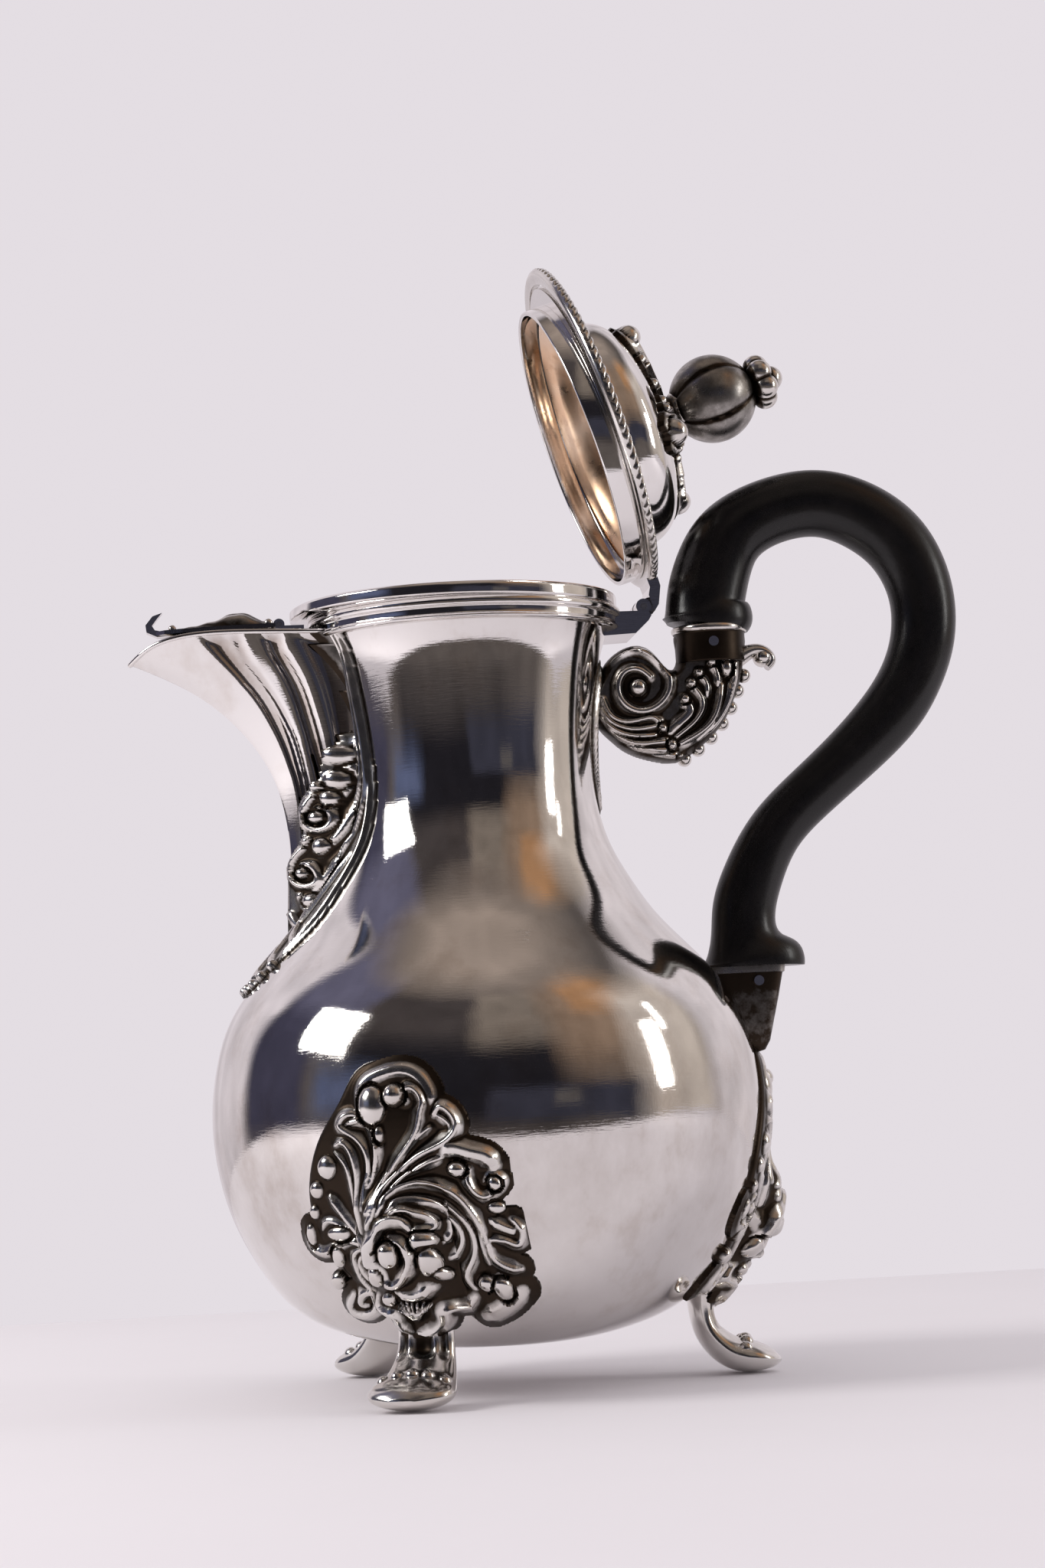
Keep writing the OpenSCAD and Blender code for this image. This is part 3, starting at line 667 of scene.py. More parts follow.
def make_rim():
    """Mouldings under the rim about the body's axis, and the wider band, which stands forward of it."""
    foot = rounded([(33, 185), (38.1, 185), (38.9, 185.7), (38.2, 186.4), (38.2, 188.1), (39.2, 188.4),
                    (39.4, 189.4), (39.0, 190.4), (MOUTH_R, 190.4), (MOUTH_R, NECK_TOP - 0.2),
                    (34.5, NECK_TOP - 0.2)],
                   0.35)
    band = rounded([(MOUTH_R, 190.3), (RIM_R - 0.9, 190.3), (RIM_R, 190.8), (RIM_R, RIM_Z - 0.7),
                    (RIM_R - 0.7, RIM_Z), (MOUTH_R + 0.6, RIM_Z), (MOUTH_R, RIM_Z - 0.4)], 0.3)
    shape = Shape().add(*revolve(foot, BODY_COLS))
    points, faces = revolve(band, BODY_COLS)
    # the band's outside stands forward, and its inside stays round the mouth
    radius = np.hypot(points[:, 0], points[:, 1])
    share = np.clip((radius - MOUTH_R) / (RIM_R - MOUTH_R), 0, 1)
    points[:, 0] -= RIM_SHIFT * share
    shape.add(points, faces)
    piece("rim", shape, "pot", ["rim_ring"], "polished_silver")


# ---- handle ----

GRIP_STATIONS = [(61.4, 185.7, 20.6, 18.4), (61.6, 187.4, 22.6, 18.8), (61.6, 189.2, 22.4, 18.6),
                 (61.4, 191.4, 20.4, 17.8), (62, 195.4, 19.8, 17.2),
                 (66.2, 206, 18.6, 15.6), (73.8, 212.7, 17.2, 15), (84.7, 216.2, 16.9, 14.8),
                 (94.8, 215.9, 17.2, 14.8), (105, 211.2, 17.6, 15), (112, 204.3, 17.3, 15),
                 (116.4, 193.7, 16.6, 14.8), (116.5, 182, 16.3, 14.4), (113.2, 172.2, 15.9, 14),
                 (107.4, 163.2, 15.8, 13.6), (96.5, 152.4, 14.6, 13), (84.8, 142.5, 13.9, 12.6),
                 (75.3, 133, 14.1, 12.6), (69.3, 122, 15.2, 13), (66.8, 113.8, 15.9, 13.6),
                 (66.9, 106.2, 19, 15), (67.8, 102, 26.6, 17), (67.9, 100.1, 27, 17)]


def make_grip():
    """Loop of ebonised wood."""
    points, faces = rod_in_plane(GRIP_STATIONS, 8)
    piece("grip", Shape().add(points, faces), "pot", ["handle_grip"], "ebonised_wood")


# ---- lid ----

DOME_KNOTS = [(38, 195.2), (34, 195.3), (31.6, 196.4), (29.9, 199), (29, 202.2), (26.8, 206), (22.5, 208.8),
              (15, 211), (7, 212.1), (0, 212.4), (-7, 212.1)]
dome_line = spline(DOME_KNOTS, 8)[:-8]


def dome_z(r):
    """Height of the lid's outside at a distance from its axis, with the lid shut."""
    return np.interp(-r, -dome_line[:, 0], dome_line[:, 1])


def make_lid():
    """Dome with its flange, its gilt lining and the ring that drops into the mouth."""
    inner = shifted(dome_line, -1.0)
    inner[-1] = (0, inner[-1][1])
    outside = np.vstack([[(34.6, FLANGE_Z), (BORDER_IN - 2, FLANGE_Z), (BORDER_IN - 2, 195.2)], dome_line])
    shell = Shape()
    points, faces = revolve(outside, BODY_COLS, closed=False)
    radius = np.hypot(points[:, 0], points[:, 1])
    points[:, 0] -= BORDER_SHIFT * np.clip((radius - 31) / (BORDER_IN - 33), 0, 1)
    shell.add(points, faces)
    piece("lid_shell", shell, "lid", ["lid_dome"], "polished_silver", move=swung)
    lining = np.vstack([[(34.6, FLANGE_Z)], inner[16:]])
    piece("lid_lining", Shape().add(*revolve(lining, 128, closed=False)), "lid", ["lid_dome"], "gilt_silver",
          move=swung)
    bezel = rounded([(BEZEL_R - 1.1, 189), (BEZEL_R, 189), (BEZEL_R + 0.1, FLANGE_Z + 0.1),
                     (BEZEL_R - 1.2, FLANGE_Z + 0.1)],
                    0.35)
    piece("lid_bezel_ring", Shape().add(*revolve(bezel, BODY_COLS)), "lid", ["lid_bezel"], "polished_silver",
          move=swung)


BORDER_COLS = 900
BORDER_LEAVES = 96


def make_border():
    """Oblique leaves round the lid, with a plain wire outside them."""
    section = rounded([(BORDER_IN - 0.9, FLANGE_Z + 0.2), (BORDER_R - 1.0, FLANGE_Z),
                       (BORDER_R - 0.2, 194.7), (BORDER_R, 195.6), (BORDER_R - 0.5, 196.5),
                       (BORDER_R - 1.3, 196.7), (BORDER_R - 1.6, 196.9), (BORDER_IN + 0.4, 197.1),
                       (BORDER_IN - 0.8, 196.5)], 0.3, 2)
    a = np.arange(BORDER_COLS) * 2 * math.pi / BORDER_COLS
    r = np.broadcast_to(section[:, :1], (len(section), BORDER_COLS)).copy()
    z = np.broadcast_to(section[:, 1:], r.shape).copy()
    on_leaf = np.clip((z - 195.0) / 0.4, 0, 1)
    phase = np.mod(a * BORDER_LEAVES / (2 * math.pi) + (z - r - 195 + BORDER_IN) * 0.22, 1)
    swell = np.sqrt(np.clip(1 - (2 * phase - 1) ** 2, 0, 1))
    z += on_leaf * (0.7 * swell - 0.5) * np.clip((z - 196) / 0.5, 0, 1)
    r += on_leaf * (0.75 * swell - 0.6) * np.clip((r - BORDER_R + 1.8) / 0.5, 0, 1)
    # The grooves between the leaves are dark: oxide patina with painted shade.
    patina_and_shade = on_leaf * np.clip(1.25 - 1.5 * swell, 0, 1)
    points = np.stack([r * np.cos(a) - BORDER_SHIFT, r * np.sin(a), z], -1).reshape(-1, 3)
    shape = Shape().add(points, grid_faces(len(section), BORDER_COLS, True, True), patina_and_shade.reshape(-1))
    piece("lid_leaf_border", shape, "lid", ["lid_border"], "oxidised_silver", move=swung)


def make_finial():
    """Melon-shaped ball."""
    rows, cols = 48, BODY_COLS
    lat = np.linspace(-math.pi / 2, math.pi / 2, rows + 1)[:, None]
    lon = np.arange(cols)[None, :] * 2 * math.pi / cols
    twist = lon + math.radians(BUD_TURN) + 0.10 * np.sin(lat)
    ridge = np.abs(np.sin(BUD_LOBES / 2 * twist)) ** 0.3
    depth = 0.115 * np.cos(lat) ** 0.6
    r = BUD_R * (1 - depth * (1 - ridge))
    points = np.stack([r * np.cos(lat) * np.cos(lon), r * np.cos(lat) * np.sin(lon),
                       r * 0.99 * np.sin(lat) + BUD_Z], -1).reshape(-1, 3)
    # Dark share: patina and painted shade in the grooves, painted shade at the poles where the ball meets
    # its boss and its berries, and an even dark tone all over.
    groove = np.clip(1.35 - 1.9 * ridge, 0, 1) * np.cos(lat) ** 0.2
    pole = np.clip(np.abs(np.sin(lat)) * 3.2 - 2.5, 0, 1) * 0.8
    patina_and_shade = np.clip(np.maximum(groove, pole + 0 * lon) + 0.44, 0, 1).reshape(-1)
    bud = Shape().add(points, grid_faces(rows + 1, cols, False, True), patina_and_shade)
    piece("bud", bud, "lid", ["finial_bud"], "oxidised_silver", move=swung)


BERRY_R = 3.2
BERRY_RING_R = 3.9


def make_berries():
    """Cluster of berries on top of the ball: a ring of six and one above."""
    berries = Shape()
    top = BUD_Z + BUD_R
    centres = [(BERRY_RING_R * math.cos(math.radians(a)), BERRY_RING_R * math.sin(math.radians(a)),
                1.8 + 0.3 * (a % 120 > 0))
               for a in range(0, 360, 60)] + [(0, 0, 4.6)]
    for centre in centres:
        points, faces = ball(np.array(centre) + (0, 0, top), (BERRY_R,) * 3, 18, 28)
        others = [np.array(c) + (0, 0, top) for c in centres if c != centre]
        near = np.min([np.linalg.norm(points - o, axis=1) for o in others], axis=0)
        # Painted shade where the berries press on each other and round their feet on the ball.
        dark = np.clip((BERRY_R + 0.9 - near) / 0.8, 0, 1)
        dark = np.maximum(dark, np.clip((top + 0.6 - points[:, 2]) / 0.9, 0, 1))
        berries.add(points, faces, dark)
    piece("berries", berries, "lid", ["finial_cluster"], "oxidised_silver", move=swung)


# ---- raised ornament ----

# Height of the parts of a relief that aren't there, and the height above which its faces are kept, in mm
SUNK = -0.6
SHOWN = -0.4


def box_blur(h, cells):
    """Mean of the height over a square round each point, taken twice."""
    for _ in range(2):
        for axis in (0, 1):
            pad = [(cells + 1, cells) if k == axis else (0, 0) for k in (0, 1)]
            total = np.cumsum(np.pad(h, pad, mode="edge"), axis=axis)
            n = h.shape[axis]
            ahead = np.take(total, np.arange(2 * cells + 1, 2 * cells + 1 + n), axis=axis)
            behind = np.take(total, np.arange(0, n), axis=axis)
            h = (ahead - behind) / (2 * cells + 1)
    return h


def distance(u, v, line):
    """Distance from points to a line of straight pieces, and the share of the way along it."""
    a = line[:-1]
    along = line[1:] - a
    length = np.maximum((along ** 2).sum(1), 1e-9)
    du = u[:, None] - a[:, 0]
    dv = v[:, None] - a[:, 1]
    t = np.clip((du * along[:, 0] + dv * along[:, 1]) / length, 0, 1)
    gap = np.hypot(du - t * along[:, 0], dv - t * along[:, 1])
    best = gap.argmin(1)
    pick = np.arange(len(u))
    return gap[pick, best], (best + t[pick, best]) / len(a)


def inside(u, v, outline):
    """Whether points lie inside a closed outline."""
    hits = np.zeros(u.shape, bool)
    for (x0, y0), (x1, y1) in zip(outline, np.roll(outline, -1, axis=0)):
        crosses = (y0 > v) != (y1 > v)
        if y1 != y0:
            hits ^= crosses & (u < (x1 - x0) * (v - y0) / (y1 - y0) + x0)
    return hits


def depth_in(u, v, outline):
    """Distance to a closed outline, positive inside it."""
    closed = np.vstack([outline, outline[:1]])
    gap, _ = distance(u.ravel(), v.ravel(), closed)
    gap = gap.reshape(u.shape)
    return np.where(inside(u, v, outline), gap, -gap)


class Relief:
    """Height over a flat patch in mm, grown stroke by stroke; below nought it sinks into what it lies on."""

    def __init__(self, low, high, step, base):
        u = np.arange(low[0], high[0] + step / 2, step)
        v = np.arange(low[1], high[1] + step / 2, step)
        self.u, self.v = np.meshgrid(u, v)
        self.h = np.full(self.u.shape, SUNK)
        self.step = step
        self.base = base

    def ground(self, outline, edge, where=True):
        """Flat ground inside an outline, rounded over its edge."""
        depth = depth_in(self.u, self.v, np.asarray(outline, float))
        share = np.clip(depth / edge, 0, 1)
        rise = SUNK + (self.base - SUNK) * np.sqrt(share * (2 - share))
        self.h = np.where(where, np.maximum(self.h, rise), self.h)

    def ridge(self, width, height, points, reach=2.2, power=1.8):
        """Rounded ridge along a curve, with hollow flanks that fall away to the ground."""
        line = spline(points, 6)
        low = line.min(0) - reach - width
        high = line.max(0) + reach + width
        near = (self.u > low[0]) & (self.u < high[0]) & (self.v > low[1]) & (self.v < high[1])
        gap, share = distance(self.u[near], self.v[near], line)
        ends = np.clip(np.minimum(share, 1 - share) / 0.16, 0, 1)
        top = self.base + (height - self.base) * (0.55 + 0.45 * ends)
        half = width / 2
        crown = np.sqrt(np.clip(1 - (gap / (half + 0.25)) ** 2, 0, 1)) * 0.35
        flank = np.clip(1 - np.maximum(gap - half, 0) / reach, 0, 1) ** power
        here = self.base - 0.3 + (top - 0.35 - self.base + 0.3) * flank + crown
        here = np.where(flank > 0.02, here, SUNK)
        self.h[near] = np.maximum(self.h[near], here)

    def dome(self, u, v, half_u, half_v, height):
        """Round or oval knob with a groove round it."""
        q = np.hypot((self.u - u) / half_u, (self.v - v) / half_v)
        size = min(half_u, half_v)
        trough = (q > 1) & (q < 1 + 0.45 / size)
        self.h = np.where(trough, np.minimum(self.h, self.base + 0.15), self.h)
        foot = self.base - 0.4
        knob = foot + (height - foot) * np.sqrt(np.clip(1 - q * q, 0, 1)) ** 0.9
        self.h = np.where(q < 1, np.maximum(np.minimum(self.h, knob + 0.2), knob), self.h)

    def patina_and_shade(self, reach, deep):
        """Share of dark in each place: oxide patina and painted shade in low places and at the feet of
        ridges; high ones are bright.
        """
        mean = box_blur(self.h, max(1, round(reach / self.step)))
        hollow = np.clip((mean - self.h) / 0.5 + 0.22, 0, 1)
        low = np.clip((deep - self.h) / 0.9, 0, 1)
        return np.clip(np.maximum(hollow, low), 0, 1)

    def sheet(self, shape, host, reach=0.9, deep=None, outward=None):
        """Adds the relief to a shape, laid on the surface that host gives for (u, v)."""
        deep = self.base + 0.55 if deep is None else deep
        p = host(self.u, self.v)
        across = np.gradient(p, axis=1)
        up = np.gradient(p, axis=0)
        n = np.cross(across, up)
        n /= np.maximum(np.linalg.norm(n, axis=2), 1e-9)[..., None]
        away = p * (1, 1, 0) if outward is None else outward
        n *= np.sign((n * away).sum(2))[..., None]
        points = (p + n * self.h[..., None]).reshape(-1, 3)
        rows, cols = self.h.shape
        faces = np.array(grid_faces(rows, cols))
        high = self.h.reshape(-1)[faces].max(1)
        shape.add(points, faces[high > SHOWN].tolist(), self.patina_and_shade(reach, deep).reshape(-1))


def mirrored(shape):
    """The same shape on the other side of the spout and handle plane as well."""
    both = Shape()
    points = shape.all_points()
    patina_and_shade = np.concatenate(shape.patina_and_shade)
    both.add(points, shape.faces, patina_and_shade)
    both.add(points * (1, -1, 1), [f[::-1] for f in shape.faces], patina_and_shade)
    return both


def tube(path, radius, around=14):
    """Points and faces of a round wire along a path."""
    path = np.asarray(path, float)
    t = tangents(path)
    side = np.cross(t, (0, 0, 1.0))
    side /= np.maximum(np.linalg.norm(side, axis=1), 1e-6)[:, None]
    up = np.cross(side, t)
    r = np.broadcast_to(np.asarray(radius, float), (len(path),))
    return sweep(path, side, up, r, r, around)


# ---- feet ----

CARTOUCHE_EDGE = [(3.5, 79.5), (-3.5, 80.5), (-9, 78), (-13, 71.5), (-18.5, 64), (-22.5, 55), (-23.5, 47),
                  (-21.5, 38.5), (-17.5, 32), (-12, 27), (-6, 27), (-5, 21), (0, 18.5), (6, 21.5), (12, 27),
                  (17.5, 31), (21.5, 34), (22, 42), (21.5, 51), (18, 58.5), (11.5, 64.5), (8, 73),
                  (3.5, 79.5)]
# Ridges of the ornament over a foot: width, height, and places (across, height above the ground)
CARTOUCHE_RIDGES = [
    (1.8, 2.4, [(-7, 69), (-6, 74.5), (-1.5, 77), (4, 77.5), (8, 75), (9.5, 71), (8.5, 69)]),
    (0.6, 3.6, [(4, 71), (4.2, 73), (6, 73.3), (8, 70.5), (7.5, 68), (6.5, 64), (2, 58), (-2, 52),
                (-5, 45.5)]),
    (0.5, 2.8, [(9, 64.5), (5.5, 61.5), (1, 55), (-2.5, 50), (-4.5, 44)]),
    (0.7, 3.2, [(10.5, 67.5), (12, 69), (14.5, 67), (15, 64), (12, 61), (6.5, 58.5), (1, 54), (-3, 48),
                (-5, 42.5)]),
    (0.45, 2.4, [(10.5, 67.5), (13, 66), (14, 64), (12, 61.5)]),
    (0.7, 2.8, [(-7.5, 68), (-10.5, 68), (-12, 66), (-10.5, 64.5), (-7.5, 62.5), (-5.5, 58.5), (-6, 52.5),
                (-6.5, 46.5)]),
    (0.55, 3.0, [(-10.5, 66), (-8.5, 66.5), (-5, 66.5), (-3.5, 63), (-3.5, 58), (-5.5, 51)]),
    (0.6, 2.8, [(-13.5, 61.5), (-11.5, 62), (-9.5, 59.5), (-8.5, 53.5), (-8, 47.5), (-8, 41.5)]),
    (0.5, 2.1, [(-14, 60), (-11.5, 57), (-10.5, 51.5), (-10, 44.5)]),
    (0.55, 2.6, [(-16.5, 50), (-15, 48), (-12, 43.5), (-9, 39.5), (-6.5, 36)]),
    (0.75, 2.6, [(-24, 43), (-24, 39.5), (-21.5, 37.5), (-17.5, 38.5), (-13.5, 40), (-9.5, 38.5), (-6, 34)]),
    (0.5, 2.2, [(-20, 42.5), (-18.5, 44.5), (-15.5, 44), (-12.5, 42.5), (-10, 40.5)]),
    (0.5, 2.4, [(-7.5, 37.5), (-11, 38), (-13, 36.5), (-13, 32.5), (-11.5, 29.5), (-7.5, 27.5)]),
    (0.5, 2.2, [(-8, 36), (-10.5, 36.5), (-12, 35), (-11.5, 32), (-9.5, 30)]),
    (0.7, 3.8, [(-0.5, 40), (2, 39), (3, 36), (1, 32.5), (-2.5, 30.5), (-5, 32.5), (-5.5, 36), (-4.5, 40),
                (-2.5, 43), (0.5, 44), (3, 43.5), (4.5, 42)]),
    (0.6, 3.5, [(4.5, 41.5), (6.5, 42), (7.5, 43), (6, 45), (2.5, 46), (-1, 44.5)]),
    (0.75, 3.2, [(-3.5, 44), (-1.5, 47.5), (2.5, 50.5), (7.5, 51.5), (12.5, 50.5), (16, 46.5), (18, 41.5),
                 (18.5, 38)]),
    (0.6, 2.8, [(-2, 44), (1, 47), (5.5, 47.5), (9.5, 46.5), (10.5, 45)]),
    (0.7, 2.6, [(10.5, 45.5), (12.5, 43.5), (13.5, 40), (12, 37), (9.5, 35)]),
    (0.7, 2.7, [(11, 47.5), (14.5, 44), (16, 39), (14.5, 34.5), (12.5, 31), (13.5, 28)]),
    (0.5, 2.4, [(14, 47), (17, 42.5), (17.5, 38), (18, 33.5)]),
    (0.5, 2.4, [(10.5, 44.5), (10.5, 41.5), (8.5, 38.5)]),
    (2.0, 3.3, [(11, 59), (14, 59.8), (17.5, 58.8), (21, 57.5), (22.5, 55.5)]),
    (0.5, 3.0, [(-1.5, 47.5), (2.5, 53), (7.5, 56.5), (12, 58)]),
    (0.6, 3.3, [(17, 55), (17, 51.5), (19.5, 49), (22, 50), (23.5, 52), (22.5, 53), (21, 52)]),
    (1.3, 2.6, [(20.5, 43), (23, 41.5), (25.3, 40.5)]),
    (0.6, 3.1, [(19, 39), (22.5, 39), (25, 38), (26.3, 40.5), (25, 43)]),
    (0.6, 3.0, [(19, 39), (19, 35.5), (21.5, 33), (24.3, 32)]),
    (2.0, 2.6, [(14, 21.5), (19, 23.5), (23.5, 27)]),
    (1.2, 3.2, [(-2, 28.5), (1.5, 27.5), (5.5, 29)]),
    (0.6, 3.2, [(-7.5, 27), (-7.5, 24.5), (-4.5, 23), (-4, 21), (-2.5, 18.5)]),
    (0.6, 3.2, [(13, 26), (10, 24), (6.5, 23.5), (6, 21.5), (3, 19), (-0.5, 18)]),
    (0.8, 2.9, [(-16, 27.5), (-18, 24.5), (-16.5, 23), (-12.5, 23.5), (-10, 26), (-10.5, 28), (-13.5, 27.5),
                (-14.5, 25.5), (-13, 25)]),
]
# Knobs of the ornament: across, height above the ground, half width, half height, how far it stands out
CARTOUCHE_KNOBS = [
    (-4, 70, 3.5, 4.6, 3.4), (1.5, 72, 2.7, 2.8, 4.8), (-16.5, 56.5, 2.6, 2.9, 3.0),
    (-20, 51.5, 1.9, 2.1, 2.5), (-21.5, 46.5, 1.5, 1.8, 2.3), (-16, 41.5, 3.4, 1.7, 2.6),
    (-23.5, 41.5, 1.3, 2.6, 2.4), (-17.5, 36, 1.7, 2.6, 2.6), (-19.5, 30.5, 2, 2, 2.8),
    (-9.5, 34.5, 1.2, 1.7, 2.2), (-6, 31.5, 1.7, 2.5, 3.2), (-1.5, 37, 2.6, 2.9, 5.0),
    (6, 39.5, 2.4, 2.2, 3.8), (6.5, 34.5, 1.9, 3.4, 3.4), (14.5, 55, 2.2, 1.9, 3.6),
    (22.2, 51.5, 1.6, 1.7, 3.2), (22, 46, 2.1, 1.5, 2.4), (16.5, 29, 2.2, 1.9, 3.3),
    (19.5, 27.5, 2.2, 2.6, 3.1), (-4.5, 26.5, 1.4, 1.6, 2.9), (8, 31.5, 1.7, 1.7, 2.6),
    (-2.5, 63.5, 1.2, 2, 2.2),
]
# How far the palmette under the ornament stands out towards the leg: height, radius
PALMETTE = [(18, 52), (22, 56), (24.4, 58), (28.6, 61.5), (33, 65), (38, 68), (43, 69.4), (49, 69), (54, 68)]


def cartouche_relief():
    """Leaf fan over a foot."""
    relief = Relief((-27.5, 16), (27.5, 82), 0.3, 1.1)
    relief.ground(spline(CARTOUCHE_EDGE, 4)[:-1], 1.6)
    for width, height, points in CARTOUCHE_RIDGES:
        relief.ridge(width, height, points, reach=2.9, power=1.5)
    for k in range(-3, 4):
        spread = [(0.6, 21.8), (0.6 + 0.75 * k, 24.2), (0.6 + 1.35 * k, 26.2 - 0.12 * k * k)]
        relief.ridge(0.35, 3.3, spread, reach=0.7)
    for knob in CARTOUCHE_KNOBS:
        relief.dome(*knob)
    return relief


def cartouche_host(u, v):
    """Belly of the pot facing along X, eased out over the palmette towards the leg."""
    r = body_r(v)
    out = np.interp(v, [p[0] for p in PALMETTE], [p[1] for p in PALMETTE])
    near = np.clip((11 - np.abs(u - 0.5)) / 6, 0, 1)
    near = near * near * (3 - 2 * near) * np.clip((55 - v) / 8, 0, 1)
    r = r + near * np.maximum(out - r, 0)
    return np.stack([np.sqrt(np.maximum(r * r - u * u, 1)), u, v], -1)


# Stations down a leg: radius from the body's axis, height, half depth, half width
LEG_STATIONS = [(57.2, 31, 4.2, 7.6), (54.4, 28, 4.1, 7.7), (51.3, 22.5, 3.7, 7.2), (50.6, 17, 3.1, 6.8),
                (51.5, 12, 3.1, 7.2), (54, 8.2, 3.6, 8.2), (57.6, 5.4, 4, 9.4), (61.8, 4.2, 4, 10.4),
                (65.6, 3.6, 3.1, 9.4), (68.2, 3.1, 1.9, 6.6), (69.6, 2.9, 0.7, 3)]
LEG_AROUND = 72
KNUCKLE_R = (1.9, 1.75, 1.9)
KNUCKLE_GAP = 3.7


def leg_shape():
    """Scroll leg with a fluted front, knuckles and a smooth pad."""
    line = spline(LEG_STATIONS, 7)
    t = tangents(line[:, :2])
    k = np.arange(LEG_AROUND) * 2 * math.pi / LEG_AROUND
    across = np.sin(k)[None, :]
    out = np.cos(k)[None, :]
    z = line[:, 1:2]
    fluted = np.clip((z - 9.5) / 3, 0, 1) * (out > 0)
    broad = np.clip(1 - (across / 0.42) ** 2, 0, 1)
    narrow = np.clip(1 - ((np.abs(across) - 0.68) / 0.18) ** 2, 0, 1)
    sunk = fluted * (1.7 * broad + 1.1 * narrow) * np.clip(out * 3, 0, 1)
    half_out = line[:, 2:3] * out - sunk
    half_across = line[:, 3:4] * across
    points = np.stack([line[:, 0:1] + t[:, 1:2] * -half_out, half_across,
                       z + t[:, 0:1] * half_out], -1)
    points[..., 2] = np.maximum(points[..., 2], 0.02)
    # The flutes are dark with oxide patina and painted shade.
    patina_and_shade = np.clip(sunk * 0.62, 0, 1)
    n = len(line)
    faces = grid_faces(n, LEG_AROUND, False, True)
    faces.append(list(range(LEG_AROUND)))
    faces.append([(n - 1) * LEG_AROUND + j for j in range(LEG_AROUND)])
    shape = Shape().add(points.reshape(-1, 3), faces, patina_and_shade.reshape(-1))
    for j in range(-2, 3):
        centre = (61.2 - 0.25 * j * j, KNUCKLE_GAP * j, 8.0 - 0.42 * j * j)
        knuckle, knuckle_faces = ball(centre, KNUCKLE_R)
        # Painted shade on the underside of each knuckle.
        dark = np.clip((centre[2] + 0.2 - knuckle[:, 2]) / 0.9, 0, 1)
        shape.add(knuckle, knuckle_faces, dark)
    return shape


def make_feet():
    """Leaf fans and legs at the three feet."""
    relief = cartouche_relief()
    for name, azimuth in FOOT_AZ.items():
        ornament = Shape()
        relief.sheet(ornament, cartouche_host, deep=2.0)
        piece(name + "_leaf_fan", ornament, "pot", [name + "_cartouche"], "oxidised_silver", 55,
              lambda p, a=azimuth: turned(p, a))
        piece(name + "_scroll_leg", leg_shape(), "pot", [name + "_leg"], "oxidised_silver", 55,
              lambda p, a=azimuth: turned(p, a))


# ---- spout ----

SPOUT_W = 14
SPOUT_WALL = 1.1
LIP_R = 0.62
LIP_DROP = 0.35
LIP_END_X = -36
SPOUT_ROOT = -24
KEEL = spline([(-47, 106), (-46.5, 112), (-46.2, 119), (-45.8, 127), (-45.8, 135), (-46.6, 142.5),
               (-48.6, 150.5), (-52.8, 158.7), (-60, 167.3), (-69, 174.3), (-80.9, 180.3), (-94, 186),
               (-108, 192)], 6)
SPOUT_TOP = spline([(-12, 186.4), (-20, 186.6), (-35, 186.9), (-51, 187.6), (-64, 187.9), (-73, 187),
                    (-79, 184.9), (-83, 182), (-87, 179)], 6)
SPOUT_ROWS = 150
SPOUT_COLS = 90
# Flutes down each flank: depth, and places (height, share of the way to the front, half width)
FLUTES = [
    (1.5, [(187, 0.53, 0.04), (175, 0.64, 0.045), (165, 0.70, 0.045), (155, 0.76, 0.04), (145, 0.79, 0.035),
           (135, 0.83, 0.03), (120, 0.86, 0.02)]),
    (0.9, [(187, 0.46, 0.018), (180, 0.54, 0.018), (174, 0.585, 0.018), (167, 0.62, 0.018),
           (161, 0.645, 0.018), (154, 0.69, 0.018), (140, 0.73, 0.016), (120, 0.79, 0.014)]),
    (1.7, [(187, 0.34, 0.03), (182, 0.38, 0.032), (175, 0.42, 0.04), (167, 0.47, 0.05), (158, 0.515, 0.06),
           (149, 0.54, 0.06), (135, 0.58, 0.05), (120, 0.6, 0.03)]),
    (1.4, [(187, 0.20, 0.05), (175, 0.22, 0.07), (160, 0.26, 0.08), (145, 0.3, 0.07), (130, 0.3, 0.05)]),
]


def spout_half(z):
    """Half width of the spout at a height."""
    return np.interp(z, [110, 119, 130, 160, 175, 187],
                     [SPOUT_W * k for k in (0.36, 0.66, 0.9, 0.9, 0.95, 1)])


def flute_depth(s, z):
    """How deep the flutes cut into the flank, in mm."""
    total = np.zeros_like(s)
    for depth, places in FLUTES:
        rise = [p[0] for p in places][::-1]
        middle = np.interp(z, rise, [p[1] for p in places][::-1])
        half = np.interp(z, rise, [p[2] for p in places][::-1])
        total += depth * np.exp(-np.abs((s - middle) / half) ** 3)
    return total * np.clip((z - 112) / 14, 0, 1)


def spout_side(inset, sign):
    """Grid of one flank of the spout, from the neck to the front line and from the belly to the top edge."""
    s = (np.linspace(0, 1, SPOUT_COLS) ** 0.8)[None, :]
    share = np.linspace(0, 1, SPOUT_ROWS)[:, None]
    keel_x = KEEL[:, 0] + 1.6 * inset
    keel_z = KEEL[:, 1] + 0.5 * inset
    root = SPOUT_ROOT + inset
    top = np.full((1, SPOUT_COLS), 187.0)
    for _ in range(30):
        x = root + s * (np.interp(top, keel_z, keel_x) - root)
        top = 0.5 * top + 0.5 * np.interp(-x, -SPOUT_TOP[:, 0], SPOUT_TOP[:, 1])
    z = keel_z[0] + share * (top - keel_z[0])
    x = root + s * (np.interp(z, keel_z, keel_x) - root)
    half = spout_half(z) - 1.1 * inset
    sunk = flute_depth(s + 0 * z, z) * np.clip((1 - share) / 0.03, 0, 1) * np.clip(half / 6, 0, 1)
    y = half * (1 - s ** 1.6) ** 0.85
    y = np.maximum(y - sunk * np.clip(y / 4, 0, 1), 0)
    return np.stack([x, sign * y, z], -1), sunk


